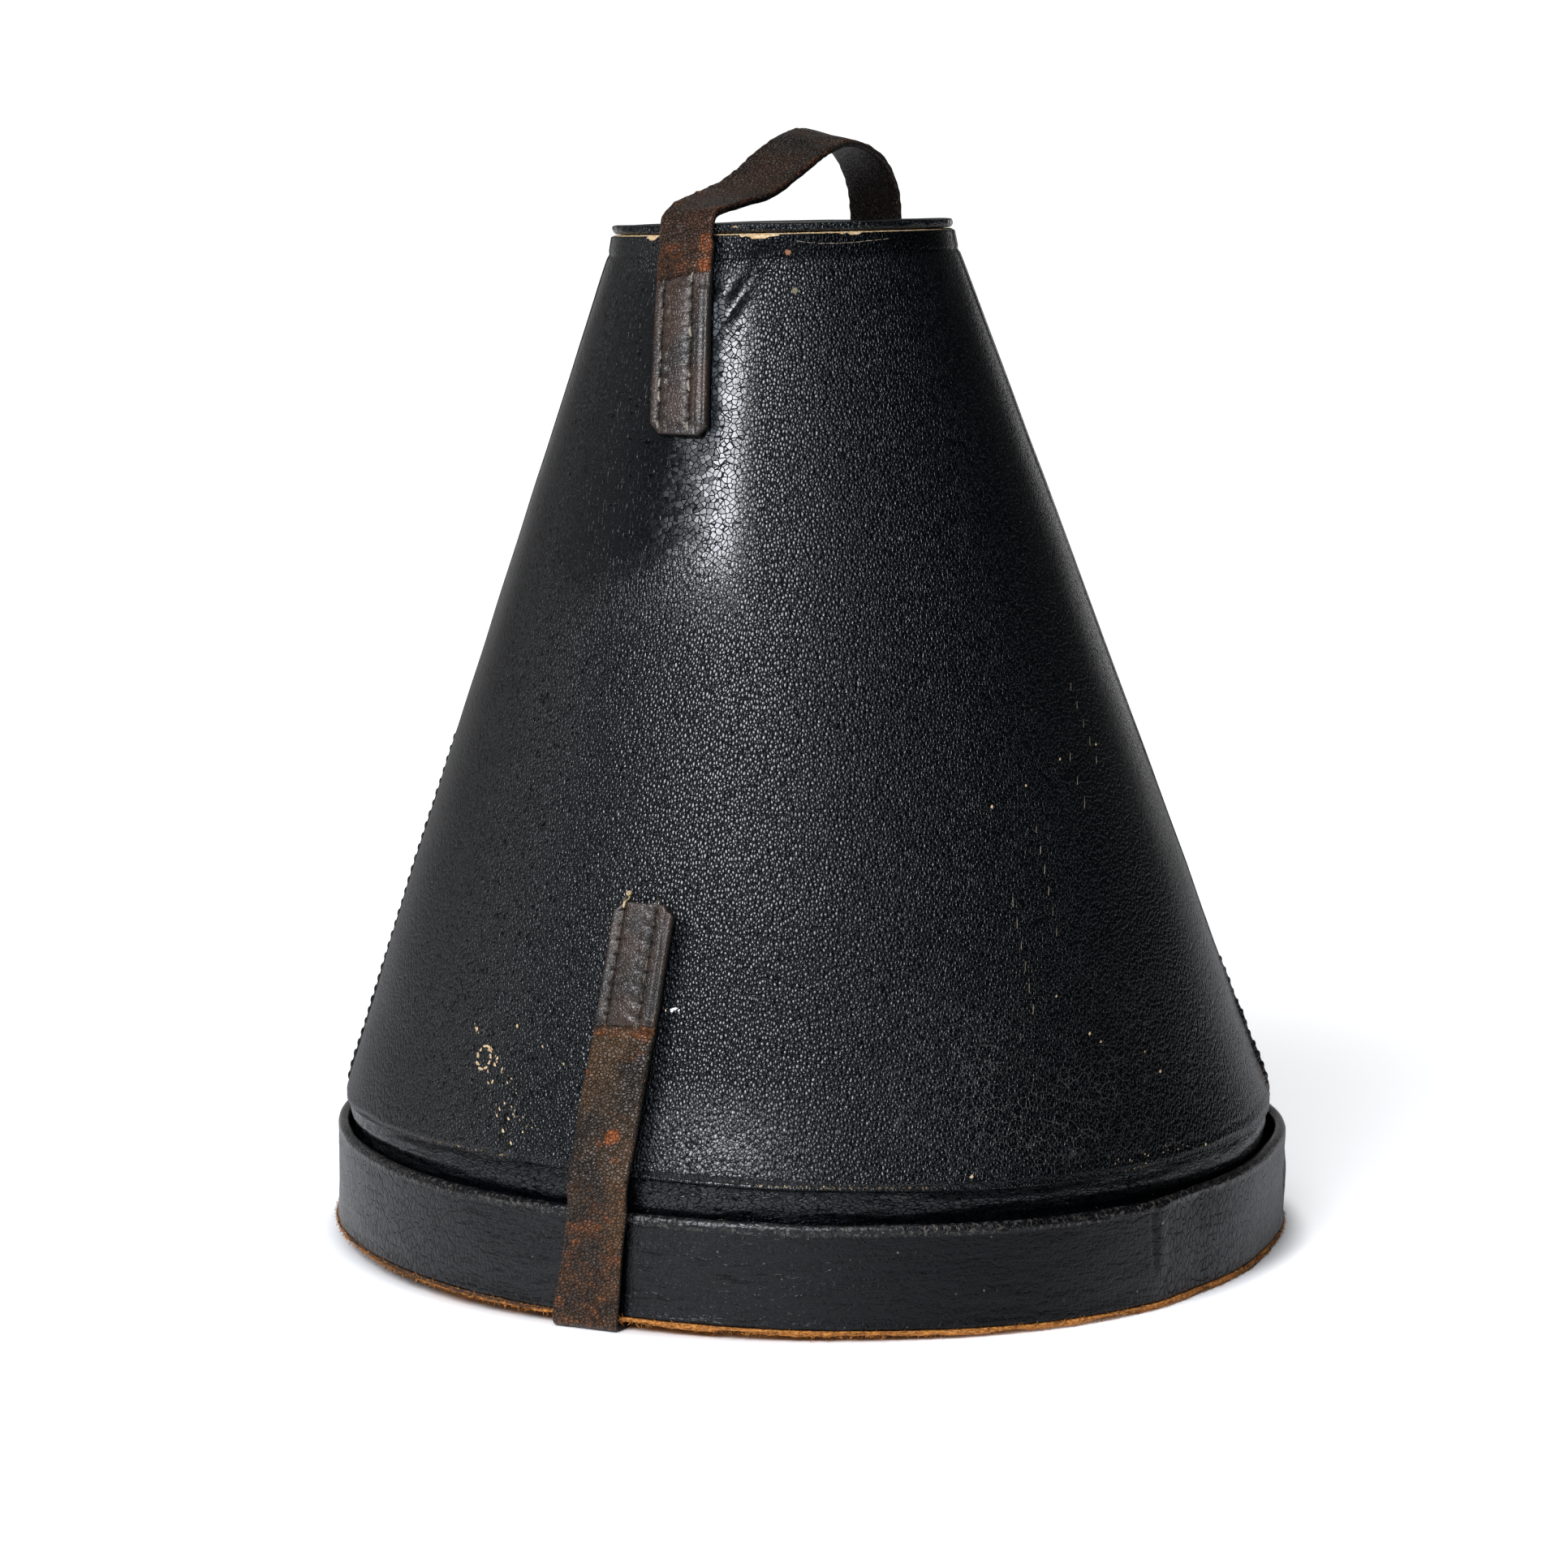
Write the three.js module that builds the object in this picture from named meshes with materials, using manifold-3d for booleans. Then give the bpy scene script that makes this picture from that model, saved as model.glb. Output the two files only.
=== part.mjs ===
// Travelling case for a dragoon helmet: a tall cone of board covered in black
// leather that stands in a shallow round tray, with a carrying strap over its
// top and a closing strap that runs round the tray from front to back.
// Millimetres, +Z up. Azimuths are in degrees from the front (-Y) towards +X.
import * as THREE from "three";
import { mergeVertices } from "three/addons/utils/BufferGeometryUtils.js";
import Module from "manifold-3d";

// ---- driving dimensions -------------------------------------------------
const gap = 0.3;                 // air left between pieces that touch
const segments = 96;             // facets round every large circle
const trayRadius = 174;
const trayHeight = 37.5;
const trayWall = 4;
const baseThickness = 2.3;
const baseLip = 0.4;             // raw leather edge standing proud of the tray wall
const collarRadius = 165.2;
const collarWall = 3;
const collarTuck = 15;           // height of the collar hidden inside the cone's foot
const coneWall = 3;
const topThickness = 3.3;
const topRound = 1.2;            // rounding of the top disc's edge
const strapWidth = 22;
const strapThickness = 2.7;
const tipClip = 3.5;             // corners clipped off a strap's end
const closingAzimuth = 7.5;      // vertical plane that holds the closing strap
const handleEnd = 290;           // height where the carrying strap stops on the cone
const closingEnd = 134.5;        // height of the closing strap's sewn front end
const closingStitched = 96.5;    // height where its stitching stops
const handleSlant = 0.15;        // sideways drift of the carrying strap's sewn front leg
const closingSlant = 0.055;      // sideways drift of the closing strap's sewn front leg
const studHeight = 104;          // height of the stud on the cone's back
const backEnd = 122;             // height of the closing strap's free tip at the back
const studNeck = 2.3;            // radius of the stud's neck
const studHead = 4.8;            // radius of the stud's head and of its flange
const studFlange = 0.8;          // thickness of the flange under the strap

// Outline of the cone from its foot crease to the top edge.
const coneRows = [
  { height: 47, radius: 169.5 },
  { height: 81, radius: 157.0 },
  { height: 131, radius: 140.4 },
  { height: 211, radius: 112.1 },
  { height: 291, radius: 83.8 },
  { height: 346, radius: 64.2 },
  { height: 351, radius: 62.3 },
  { height: 361.5, radius: 60.3 },
];
const footHeight = coneRows[0].height;
const topRow = coneRows[coneRows.length - 1];

// How far the tray's wall has moved in or out of a true circle.
const trayRows = [
  { azimuth: -148, swell: 0 },
  { azimuth: -63, swell: -2.0 },
  { azimuth: -38, swell: -1.8 },
  { azimuth: -13, swell: -0.8 },
  { azimuth: 12, swell: -2.4 },
  { azimuth: 37, swell: 0.5 },
  { azimuth: 60, swell: 3.0 },
  { azimuth: 72, swell: 2.3 },
  { azimuth: 84, swell: -1.2 },
  { azimuth: 104, swell: -2.5 },
  { azimuth: 127, swell: 1.5 },
  { azimuth: 155, swell: 0 },
];

// How far the foot crease has risen or sunk.
const footRows = [
  { azimuth: -58, rise: -2.3 },
  { azimuth: 4, rise: 2.4 },
  { azimuth: 32, rise: 0.8 },
  { azimuth: 62, rise: -0.8 },
  { azimuth: 122, rise: 0 },
  { azimuth: 210, rise: -1 },
];

const footFade = 65;             // height over which that rise dies away

// How far the closing strap stands off the cone's foot, then off the tray.
const conePassRows = [
  { height: 73, slack: 1.9 },
  { height: 56, slack: 1.7 },
];
const trayPassRows = [
  { height: 44, slack: 0.9 },
  { height: 37, slack: 0.7 },
  { height: 28, slack: 0.2 },
  { height: 14, slack: 0 },
];

// Middle line of the carrying strap over the top, front to back.
// reach is measured along +Y from the cone's axis, rise from the top's face.
const handleRows = [
  { reach: -62.5, rise: -2.0, roll: 0 },
  { reach: -60.7, rise: 2.4, roll: 0 },
  { reach: -55.4, rise: 5.0, roll: 3 },
  { reach: -45.4, rise: 7.1, roll: 7 },
  { reach: -36.0, rise: 8.9, roll: 9 },
  { reach: -26.6, rise: 10.7, roll: 12 },
  { reach: -15.0, rise: 14.3, roll: 14 },
  { reach: -8.0, rise: 17.4, roll: 15 },
  { reach: 8.0, rise: 24.1, roll: 16 },
  { reach: 19.0, rise: 27.7, roll: 15 },
  { reach: 30.0, rise: 29.4, roll: 13 },
  { reach: 40.0, rise: 28.3, roll: 11 },
  { reach: 50.0, rise: 24.9, roll: 9 },
  { reach: 58.3, rise: 18.8, roll: 6 },
  { reach: 63.6, rise: 10.4, roll: 3 },
  { reach: 64.8, rise: 1.0, roll: 0 },
  { reach: 65.0, rise: -7.0, roll: 0 },
];

// Age has bent the case: the cone leans, its top tips with it, and one dent
// runs up to the top edge beside the carrying strap.
const lean = { azimuth: -58, angle: 2.5, from: trayHeight, slide: 0.4, settled: 60 };
const topTip = 2.1;
const dent = { azimuth: 21, height: 341, length: 24, width: 8, depth: 1.3, slant: 52 };

// The case stands on its closing strap, so it tips sideways until the rim of
// the base meets the floor too, and its weight presses the strap flat there.
const strapDrop = gap + strapThickness;
const settleAzimuth = closingAzimuth + 90;

const wasm = await Module();
wasm.setup();

// ---- small helpers ------------------------------------------------------
const rad = THREE.MathUtils.degToRad;
const lerp = THREE.MathUtils.lerp;

function smooth(value, from, to) {
  const t = THREE.MathUtils.clamp((value - from) / (to - from), 0, 1);
  return t * t * (3 - 2 * t);
}

// Value of a column at a height, straight between rows.
function atHeight(rows, height) {
  const last = rows.length - 1;
  let i = 0;
  while (i < last - 1 && height > rows[i + 1].height) i += 1;
  const t = (height - rows[i].height) / (rows[i + 1].height - rows[i].height);
  return lerp(rows[i].radius, rows[i + 1].radius, t);
}

// Value of a column round the circle, eased between rows.
function aroundCircle(rows, column, azimuth) {
  const first = rows[0].azimuth;
  const turn = THREE.MathUtils.euclideanModulo(azimuth - first, 360);
  let i = 0;
  while (i < rows.length - 1 && turn > rows[i + 1].azimuth - first) i += 1;
  const next = rows[(i + 1) % rows.length];
  const from = rows[i].azimuth - first;
  const to = i + 1 < rows.length ? next.azimuth - first : 360;
  return lerp(rows[i][column], next[column], smooth(turn, from, to));
}

const settleReach = trayRadius + baseLip + aroundCircle(trayRows, "swell", settleAzimuth);
const settleAngle = Math.atan(strapDrop / (settleReach + strapWidth / 2));
const settleLift = settleReach * Math.sin(settleAngle);

const azimuthOf = (v) => THREE.MathUtils.radToDeg(Math.atan2(v.x, -v.y));
const coneRadius = (height) => atHeight(coneRows, height);

function editVertices(geometry, edit) {
  const position = geometry.attributes.position;
  const v = new THREE.Vector3();
  for (let i = 0; i < position.count; i += 1) {
    v.fromBufferAttribute(position, i);
    edit(v);
    position.setXYZ(i, v.x, v.y, v.z);
  }
  return geometry;
}

// Turned form: [radius, height] points revolved about +Z from the front.
function turned(points, count = segments) {
  const profile = points.map(([radius, height]) => new THREE.Vector2(radius, height));
  return new THREE.LatheGeometry(profile, count).rotateX(Math.PI / 2);
}

// A point of the ideal upright case moved to where it lies on the aged one.
function aged(v) {
  const azimuth = azimuthOf(v);
  const towards = new THREE.Vector2(Math.sin(rad(lean.azimuth)), -Math.cos(rad(lean.azimuth)));
  const along = v.x * towards.x + v.y * towards.y;
  const above = Math.max(v.z - lean.from, 0);
  const fade = smooth(v.z, trayHeight, footHeight) * (1 - smooth(v.z, footHeight, footHeight + footFade));
  const tip = rad(topTip) * THREE.MathUtils.clamp((v.z - footHeight) / (topRow.height - footHeight), 0, 1);
  const shift = lean.slide * smooth(v.z, lean.from, lean.settled) + above * Math.tan(rad(lean.angle));
  const rise = aroundCircle(footRows, "rise", azimuth) * fade;
  v.x += towards.x * shift;
  v.y += towards.y * shift;
  v.z += rise - along * Math.tan(tip);
  return v;
}

function swollen(v) {
  const radius = Math.hypot(v.x, v.y);
  if (radius < trayRadius / 2) return v;
  const grow = 1 + aroundCircle(trayRows, "swell", azimuthOf(v)) / radius;
  v.x *= grow;
  v.y *= grow;
  return v;
}

function toManifold(geometry) {
  const bare = geometry.clone();
  bare.deleteAttribute("normal");
  bare.deleteAttribute("uv");
  const merged = mergeVertices(bare, 1e-4);
  return new wasm.Manifold(new wasm.Mesh({
    numProp: 3,
    vertProperties: new Float32Array(merged.attributes.position.array),
    triVerts: new Uint32Array(merged.index.array),
  }));
}

function fromManifold(solid) {
  const mesh = solid.getMesh();
  const geometry = new THREE.BufferGeometry();
  geometry.setAttribute("position", new THREE.BufferAttribute(new Float32Array(mesh.vertProperties), 3));
  geometry.setIndex(new THREE.BufferAttribute(new Uint32Array(mesh.triVerts), 1));
  geometry.computeVertexNormals();
  return geometry;
}

// A strap: a flat box bent along stations { reach, height, roll, crown, aside },
// its middle line in the vertical plane at an azimuth, reach positive outwards.
// crown is the radius that the strap's width curves to, or 0 where it is flat,
// and aside is how far the middle line has drifted out of its plane.
// halfWidth gives half the strap's width at station i.
function bentStrap(stations, azimuth, halfWidth) {
  const last = stations.length - 1;
  const box = new THREE.BoxGeometry(1, strapThickness, last, 4, 1, last);
  const out = new THREE.Vector3(Math.sin(rad(azimuth)), -Math.cos(rad(azimuth)), 0);
  const across = new THREE.Vector3(Math.cos(rad(azimuth)), Math.sin(rad(azimuth)), 0);
  const up = new THREE.Vector3(0, 0, 1);
  return editVertices(box, (v) => {
    const i = Math.round(v.z + last / 2);
    const here = stations[i];
    const before = stations[Math.max(i - 1, 0)];
    const after = stations[Math.min(i + 1, last)];
    const run = new THREE.Vector2(after.reach - before.reach, after.height - before.height).normalize();
    const normal = out.clone().multiplyScalar(-run.y).addScaledVector(up, run.x);
    const along = out.clone().multiplyScalar(run.x).addScaledVector(up, run.y);
    const side = across.clone().applyAxisAngle(along, rad(here.roll ?? 0));
    normal.applyAxisAngle(along, rad(here.roll ?? 0));
    const aside = here.aside ?? 0;
    const offset = v.x * 2 * halfWidth(i);
    const drop = here.crown ? (offset + aside) ** 2 / (2 * here.crown) : 0;
    const depth = v.y - drop;
    v.copy(out).multiplyScalar(here.reach).addScaledVector(up, here.height);
    v.addScaledVector(side, offset).addScaledVector(normal, depth).addScaledVector(across, aside);
  });
}

// Strap station lying on the cone at a height, stood off by half its thickness.
function onCone(height, side, standOff = 0) {
  const slope = (coneRadius(height - 1) - coneRadius(height + 1)) / 2;
  const away = gap + strapThickness / 2 + standOff;
  const length = Math.hypot(1, slope);
  return {
    reach: side * (coneRadius(height) + away / length),
    height: height + away * slope / length,
    crown: coneRadius(height),
  };
}

function piece(name, geometry, color, roughness, metalness = 0) {
  const mesh = new THREE.Mesh(geometry, new THREE.MeshStandardMaterial({ color, roughness, metalness }));
  mesh.name = name;
  return mesh;
}

// ---- the pieces ---------------------------------------------------------
const blackLeather = 0x17181c;
const brownLeather = 0x3a2418;
const tanLeather = 0xa8662c;

function dentDepth(v) {
  const turn = rad(dent.slant);
  const sideways = rad(azimuthOf(v) - dent.azimuth) * Math.hypot(v.x, v.y);
  const upwards = v.z - dent.height;
  const along = (sideways * Math.cos(turn) + upwards * Math.sin(turn)) / (dent.length / 2);
  const across = (upwards * Math.cos(turn) - sideways * Math.sin(turn)) / (dent.width / 2);
  return dent.depth * Math.exp(-along * along - across * across);
}

// Hollow cone, open at its foot, with the top disc laid on its upper edge.
function coneShell() {
  const shellTop = topRow.height - topThickness - gap;
  const heights = [footHeight, 64, 81, 106, 131, 158, 185, 211, 238, 265, 291, 308, 320, 327, 333, 339, 346, 351];
  const outer = [...heights, shellTop].map((h) => [coneRadius(h), h]);
  const innerHeights = [shellTop, 346, 291, 211, 131, footHeight];
  const inner = innerHeights.map((h) => [coneRadius(h) - coneWall, h]);
  const profile = [...outer, ...inner, outer[0]];
  const shell = editVertices(turned(profile), (v) => {
    const radius = Math.hypot(v.x, v.y);
    const keep = radius > coneRadius(v.z) - 1 ? 1 - dentDepth(v) / radius : 1;
    v.x *= keep;
    v.y *= keep;
    aged(v);
  });
  return piece("cone_shell", shell, blackLeather, 0.45);
}

function topDisc() {
  const top = topRow.height;
  const bottom = top - topThickness;
  const edge = topRow.radius + 0.2;
  const profile = [[0, bottom], [edge, bottom], [edge, top - topRound]];
  for (const step of [1, 2, 3]) {
    const turn = step * Math.PI / 6;
    profile.push([edge - topRound * (1 - Math.cos(turn)), top - topRound * (1 - Math.sin(turn))]);
  }
  profile.push([0, top]);
  return piece("top_disc", editVertices(turned(profile, 64), aged), blackLeather, 0.5);
}

// Band under the cone's foot that drops into the tray and stands on its base.
function footCollar() {
  const bottom = baseThickness + gap;
  const tuckTop = footHeight + collarTuck;
  const room = coneWall + 2 * gap;
  const outer = [
    [collarRadius, bottom],
    [collarRadius + 0.2, 28],
    [collarRadius + 0.9, 40],
    [coneRadius(footHeight) - room, footHeight],
    [coneRadius(tuckTop) - room, tuckTop],
  ];
  const inner = outer.map(([radius, height]) => [radius - collarWall, height]).reverse();
  const ring = editVertices(turned([...outer, ...inner, outer[0]]), aged);
  return piece("foot_collar", ring, blackLeather, 0.4);
}

function trayRim() {
  const bottom = baseThickness + gap;
  const edge = trayWall / 2;
  const profile = [[trayRadius - trayWall, bottom], [trayRadius, bottom], [trayRadius, 20]];
  for (const step of [0, 1, 2, 3, 4]) {
    const turn = step * Math.PI / 4;
    profile.push([trayRadius - edge + edge * Math.cos(turn), trayHeight - edge + edge * Math.sin(turn)]);
  }
  profile.push(profile[0]);
  return piece("tray_rim", editVertices(turned(profile), swollen), blackLeather, 0.5);
}

function trayBase() {
  const radius = trayRadius + baseLip;
  const profile = [[0, 0], [radius, 0], [radius, baseThickness], [0, baseThickness]];
  return piece("tray_base", editVertices(turned(profile), swollen), tanLeather, 0.9);
}

// Half width along a strap whose two ends have clipped corners.
function clippedEnds(last) {
  return (i) => (i === 0 || i === last ? strapWidth / 2 - tipClip : strapWidth / 2);
}

// One strap sewn down the front and the back of the cone, arched over the top.
function handleStrap() {
  const rows = handleRows.map((row) => new THREE.Vector3(row.reach, row.rise + topRow.height, row.roll));
  const curve = new THREE.CatmullRomCurve3(rows, false, "centripetal");
  const loop = curve.getSpacedPoints(44).map((p) => ({ reach: p.x, height: p.y, roll: p.z }));
  const heights = [handleEnd, handleEnd + tipClip, 302, 314, 326, 336, 344, 349];
  const front = heights.map((h) => ({ ...onCone(h, -1), aside: -handleSlant * (heights.at(-1) - h) }));
  const back = heights.map((h) => onCone(h, 1)).reverse();
  const stations = [...front, { reach: -63.6, height: 353, crown: 62 }, ...loop, ...back];
  const strap = bentStrap(stations, 180, clippedEnds(stations.length - 1));
  return piece("handle_strap", editVertices(strap, aged), brownLeather, 0.6);
}

// One strap sewn to the cone's lower front, down over the tray, under its base
// and up the back, where its tip buttons over the stud.
function closingStrapStations() {
  const half = gap + strapThickness / 2;
  const underRim = (azimuth) => trayRadius + baseLip + aroundCircle(trayRows, "swell", azimuth);
  const frontRim = underRim(closingAzimuth);
  const backRim = underRim(closingAzimuth + 180);
  const corner = (rim, side) => [0, 1, 2, 3, 4, 5, 6].map((step) => {
    const turn = step * Math.PI / 12;
    return { reach: side * (rim + half * Math.cos(turn)), height: -half * Math.sin(turn) };
  });
  const drift = (height) => closingSlant * Math.max(height - footHeight, 0);
  const flank = (rim, side) => [
    ...conePassRows.map(({ height, slack }) => ({
      ...onCone(height, side, slack),
      aside: side > 0 ? drift(height) : 0,
    })),
    ...trayPassRows.map(({ height, slack }) => ({ reach: side * (rim + half + slack), height })),
  ];
  const sewn = [closingEnd, closingEnd - tipClip, 122, 109, closingStitched]
    .map((h) => ({ ...onCone(h, 1), aside: drift(h) }));
  const tipStandOff = gap + studFlange;
  const tip = [backEnd, backEnd - tipClip, 112, studHeight, 96, 88]
    .map((h) => onCone(h, -1, tipStandOff));
  const under = [120, 60, 0, -60, -120].map((reach) => ({ reach, height: -half }));
  const frontSide = [...sewn, ...flank(frontRim, 1), ...corner(frontRim, 1)];
  const backSide = [...tip, ...flank(backRim, -1), ...corner(backRim, -1)];
  return [...frontSide, ...under, ...backSide.reverse()];
}

function studAxis() {
  const seat = onCone(studHeight, -1, -strapThickness / 2);
  const slope = (coneRadius(studHeight - 1) - coneRadius(studHeight + 1)) / 2;
  return { seat, tilt: Math.atan(slope) };
}

// Places a form turned about +Z so that it stands square on the cone's back.
function squareToBack(geometry) {
  const { seat, tilt } = studAxis();
  geometry.rotateX(tilt - Math.PI / 2);
  geometry.translate(0, -seat.reach, seat.height);
  return geometry.rotateZ(rad(closingAzimuth));
}

// Lifts what would lie under the floor to the floor's height.
function pressed(v) {
  const sideways = v.x * Math.sin(rad(settleAzimuth)) - v.y * Math.cos(rad(settleAzimuth));
  v.z = Math.max(v.z, sideways * Math.tan(settleAngle) - settleLift / Math.cos(settleAngle));
}

function closingStrap() {
  const stations = closingStrapStations();
  const strap = bentStrap(stations, closingAzimuth, clippedEnds(stations.length - 1));
  editVertices(strap, pressed);
  const hole = squareToBack(turned([[0, -4], [studNeck + gap, -4], [studNeck + gap, 12], [0, 12]], 20));
  const pierced = fromManifold(toManifold(strap).subtract(toManifold(hole)));
  return piece("closing_strap", editVertices(pierced, aged), brownLeather, 0.6);
}

// Plain turned stud riveted to the cone's back.
function rearStud() {
  const neckTop = studFlange + strapThickness + 2 * gap;
  const profile = [
    [0, 0],
    [studHead, 0],
    [studHead, studFlange - 0.2],
    [studNeck, studFlange],
    [studNeck, neckTop],
    [studHead, neckTop + 0.4],
    [studHead, neckTop + 1.4],
    [studHead * 0.6, neckTop + 2.6],
    [0, neckTop + 3],
  ];
  return piece("rear_stud", editVertices(squareToBack(turned(profile, 24)), aged), 0x8d7440, 0.4, 0.9);
}

// ---- assembly -----------------------------------------------------------
const helmetCase = new THREE.Group();
helmetCase.add(coneShell(), topDisc(), footCollar(), trayRim(), trayBase());
helmetCase.add(handleStrap(), closingStrap(), rearStud());
const tipAxis = new THREE.Vector3(Math.sin(rad(closingAzimuth)), -Math.cos(rad(closingAzimuth)), 0);
helmetCase.quaternion.setFromAxisAngle(tipAxis, -settleAngle);
helmetCase.position.z = settleLift;

// The origin is on the floor, midway under the case.
const middle = new THREE.Box3().setFromObject(helmetCase, true).getCenter(new THREE.Vector3());
helmetCase.position.x -= middle.x;
helmetCase.position.y -= middle.y;

const model = new THREE.Group();
model.add(helmetCase);
export default model;
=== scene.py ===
import math

import bpy
import numpy as np
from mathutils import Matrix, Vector


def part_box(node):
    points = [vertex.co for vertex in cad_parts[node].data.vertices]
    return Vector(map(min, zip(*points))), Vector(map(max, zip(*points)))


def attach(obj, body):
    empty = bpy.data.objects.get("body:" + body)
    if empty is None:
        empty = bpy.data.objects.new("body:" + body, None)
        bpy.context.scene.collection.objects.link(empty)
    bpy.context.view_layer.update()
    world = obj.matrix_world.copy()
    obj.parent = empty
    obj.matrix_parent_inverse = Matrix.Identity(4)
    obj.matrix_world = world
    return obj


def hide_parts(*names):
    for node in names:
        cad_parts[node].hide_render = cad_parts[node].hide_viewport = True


# Travelling case for a dragoon helmet: black crackled leather over board, brown
# leather straps. Shapes are worked out in millimetres on an upright case, then
# leaned, tipped and settled as the old one is, and stored in metres.
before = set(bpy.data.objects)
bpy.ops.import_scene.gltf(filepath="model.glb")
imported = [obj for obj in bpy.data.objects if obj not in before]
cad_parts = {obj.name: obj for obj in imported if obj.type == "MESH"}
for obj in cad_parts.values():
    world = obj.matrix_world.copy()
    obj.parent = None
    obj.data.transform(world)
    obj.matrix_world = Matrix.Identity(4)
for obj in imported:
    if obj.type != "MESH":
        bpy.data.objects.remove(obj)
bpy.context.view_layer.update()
scene = bpy.context.scene

# The case's form, shared by every piece.
caseForm = {
    "gap": 0.3,
    "trayRadius": 174.0,
    "trayHeight": 37.5,
    "trayWall": 4.0,
    "baseThickness": 2.3,
    "baseLip": 0.4,
    "collarRadius": 165.2,
    "wall": 3.0,
    "collarTuck": 15.0,
    "topThickness": 3.3,
    "strapWidth": 22.0,
    "strapThickness": 2.7,
    "closingAzimuth": 7.5,
    "coneRows": [(47, 169.5), (81, 157.0), (131, 140.4), (211, 112.1), (291, 83.8), (346, 64.2),
                 (351, 62.3), (361.5, 60.3)],  # height, radius
    "trayRows": [(-148, 0), (-63, -2.0), (-38, -1.8), (-13, -0.8), (12, -2.4), (37, 0.5), (60, 3.0),
                 (72, 2.3), (84, -1.2), (104, -2.5), (127, 1.5), (155, 0)],  # azimuth, swell
    "footRows": [(-58, -2.3), (4, 2.4), (32, 0.8), (62, -0.8), (122, 0), (210, -1)],  # azimuth, rise
    "footFade": 65.0,
    "leanAzimuth": -58.0,
    "leanAngle": 2.5,
    "leanSlide": 0.4,
    "leanSettled": 60.0,
    "topTip": 2.1,
}
footHeight, topHeight = caseForm["coneRows"][0][0], caseForm["coneRows"][-1][0]
topRadius = caseForm["coneRows"][-1][1]
gap = caseForm["gap"]
rad = math.radians


def ease(x, low, high):
    t = np.clip((np.asarray(x, float) - low) / (high - low), 0, 1)
    return t * t * (3 - 2 * t)


def bump(x, middle, width):  # a soft hump of height 1
    return np.exp(-((np.asarray(x, float) - middle) / width) ** 2)


def coneRadius(height):
    heights, radii = zip(*caseForm["coneRows"])
    return np.interp(height, heights, radii)


def aroundRows(rows, azimuth):  # eased between rows that go once round the circle
    first = rows[0][0]
    starts = np.array([a for a, value in rows] + [first + 360.0]) - first
    values = np.array([value for a, value in rows] + [rows[0][1]], float)
    turn = np.mod(np.asarray(azimuth, float) - first, 360)
    i = np.clip(np.searchsorted(starts, turn, side="right") - 1, 0, len(rows) - 1)
    t = ease((turn - starts[i]) / (starts[i + 1] - starts[i]), 0, 1)
    return values[i] + (values[i + 1] - values[i]) * t


def ripple(u, v, seed, wrap=256):  # smooth noise from -1 to 1, one cell a unit, u repeats after wrap
    table = np.random.default_rng(seed).uniform(-1, 1, (256, 256))
    u, v = np.broadcast_arrays(np.asarray(u, float), np.asarray(v, float))
    iu, iv = np.floor(u).astype(int), np.floor(v).astype(int)
    fu, fv = ease(u - iu, 0, 1), ease(v - iv, 0, 1)
    u0, u1, v0, v1 = iu % wrap, (iu + 1) % wrap, iv % 256, (iv + 1) % 256
    low = table[u0, v0] * (1 - fu) + table[u1, v0] * fu
    high = table[u0, v1] * (1 - fu) + table[u1, v1] * fu
    return low * (1 - fv) + high * fv


def roundRipple(azimuth, height, cells, tall, seed):  # cells round the circle, tall mm each
    return ripple(np.mod(azimuth, 360) / 360 * cells, height / tall, seed, cells)


def towardsAzimuth(azimuth):
    return np.array([math.sin(rad(azimuth)), -math.cos(rad(azimuth)), 0.0])


def azimuthOf(points):
    return np.degrees(np.arctan2(points[..., 0], -points[..., 1]))


def swollen(points):  # the tray's wall, no longer quite round
    radius = np.hypot(points[..., 0], points[..., 1])
    swell = aroundRows(caseForm["trayRows"], azimuthOf(points))
    grow = np.where(radius > caseForm["trayRadius"] / 2, 1 + swell / np.maximum(radius, 1), 1)
    return points * np.stack([grow, grow, np.ones_like(grow)], -1)


def aged(points):  # leans the cone, tips its top and lets its foot rise and sink
    x, y, z = points[..., 0], points[..., 1], points[..., 2]
    towards = towardsAzimuth(caseForm["leanAzimuth"])
    along = x * towards[0] + y * towards[1]
    above = np.maximum(z - caseForm["trayHeight"], 0)
    fade = (ease(z, caseForm["trayHeight"], footHeight)
            * (1 - ease(z, footHeight, footHeight + caseForm["footFade"])))
    tip = rad(caseForm["topTip"]) * np.clip((z - footHeight) / (topHeight - footHeight), 0, 1)
    shift = caseForm["leanSlide"] * ease(z, caseForm["trayHeight"], caseForm["leanSettled"])
    shift = shift + above * math.tan(rad(caseForm["leanAngle"]))
    rise = aroundRows(caseForm["footRows"], azimuthOf(points)) * fade
    return np.stack([x + towards[0] * shift, y + towards[1] * shift, z + rise - along * np.tan(tip)], -1)


# The case stands on its closing strap and on the tray's edge to one side of it.
settleAzimuth = caseForm["closingAzimuth"] + 90
settleReach = (caseForm["trayRadius"] + caseForm["baseLip"]
               + float(aroundRows(caseForm["trayRows"], settleAzimuth)))
settleAngle = math.atan((gap + caseForm["strapThickness"]) / (settleReach + caseForm["strapWidth"] / 2))
settleLift = settleReach * math.sin(settleAngle)


def settled(points):  # tips the upright case onto the floor, still in millimetres
    side = towardsAzimuth(settleAzimuth)
    sideways = points @ side
    turned = sideways * math.cos(settleAngle) + points[..., 2] * math.sin(settleAngle)
    height = points[..., 2] * math.cos(settleAngle) - sideways * math.sin(settleAngle) + settleLift
    flat = points - sideways[..., None] * side
    return flat * np.array([1, 1, 0]) + turned[..., None] * side + height[..., None] * np.array([0, 0, 1])


def floorUnder(points):  # height of the floor below a point of the upright case
    return (points @ towardsAzimuth(settleAzimuth) - settleReach) * math.tan(settleAngle)


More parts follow.
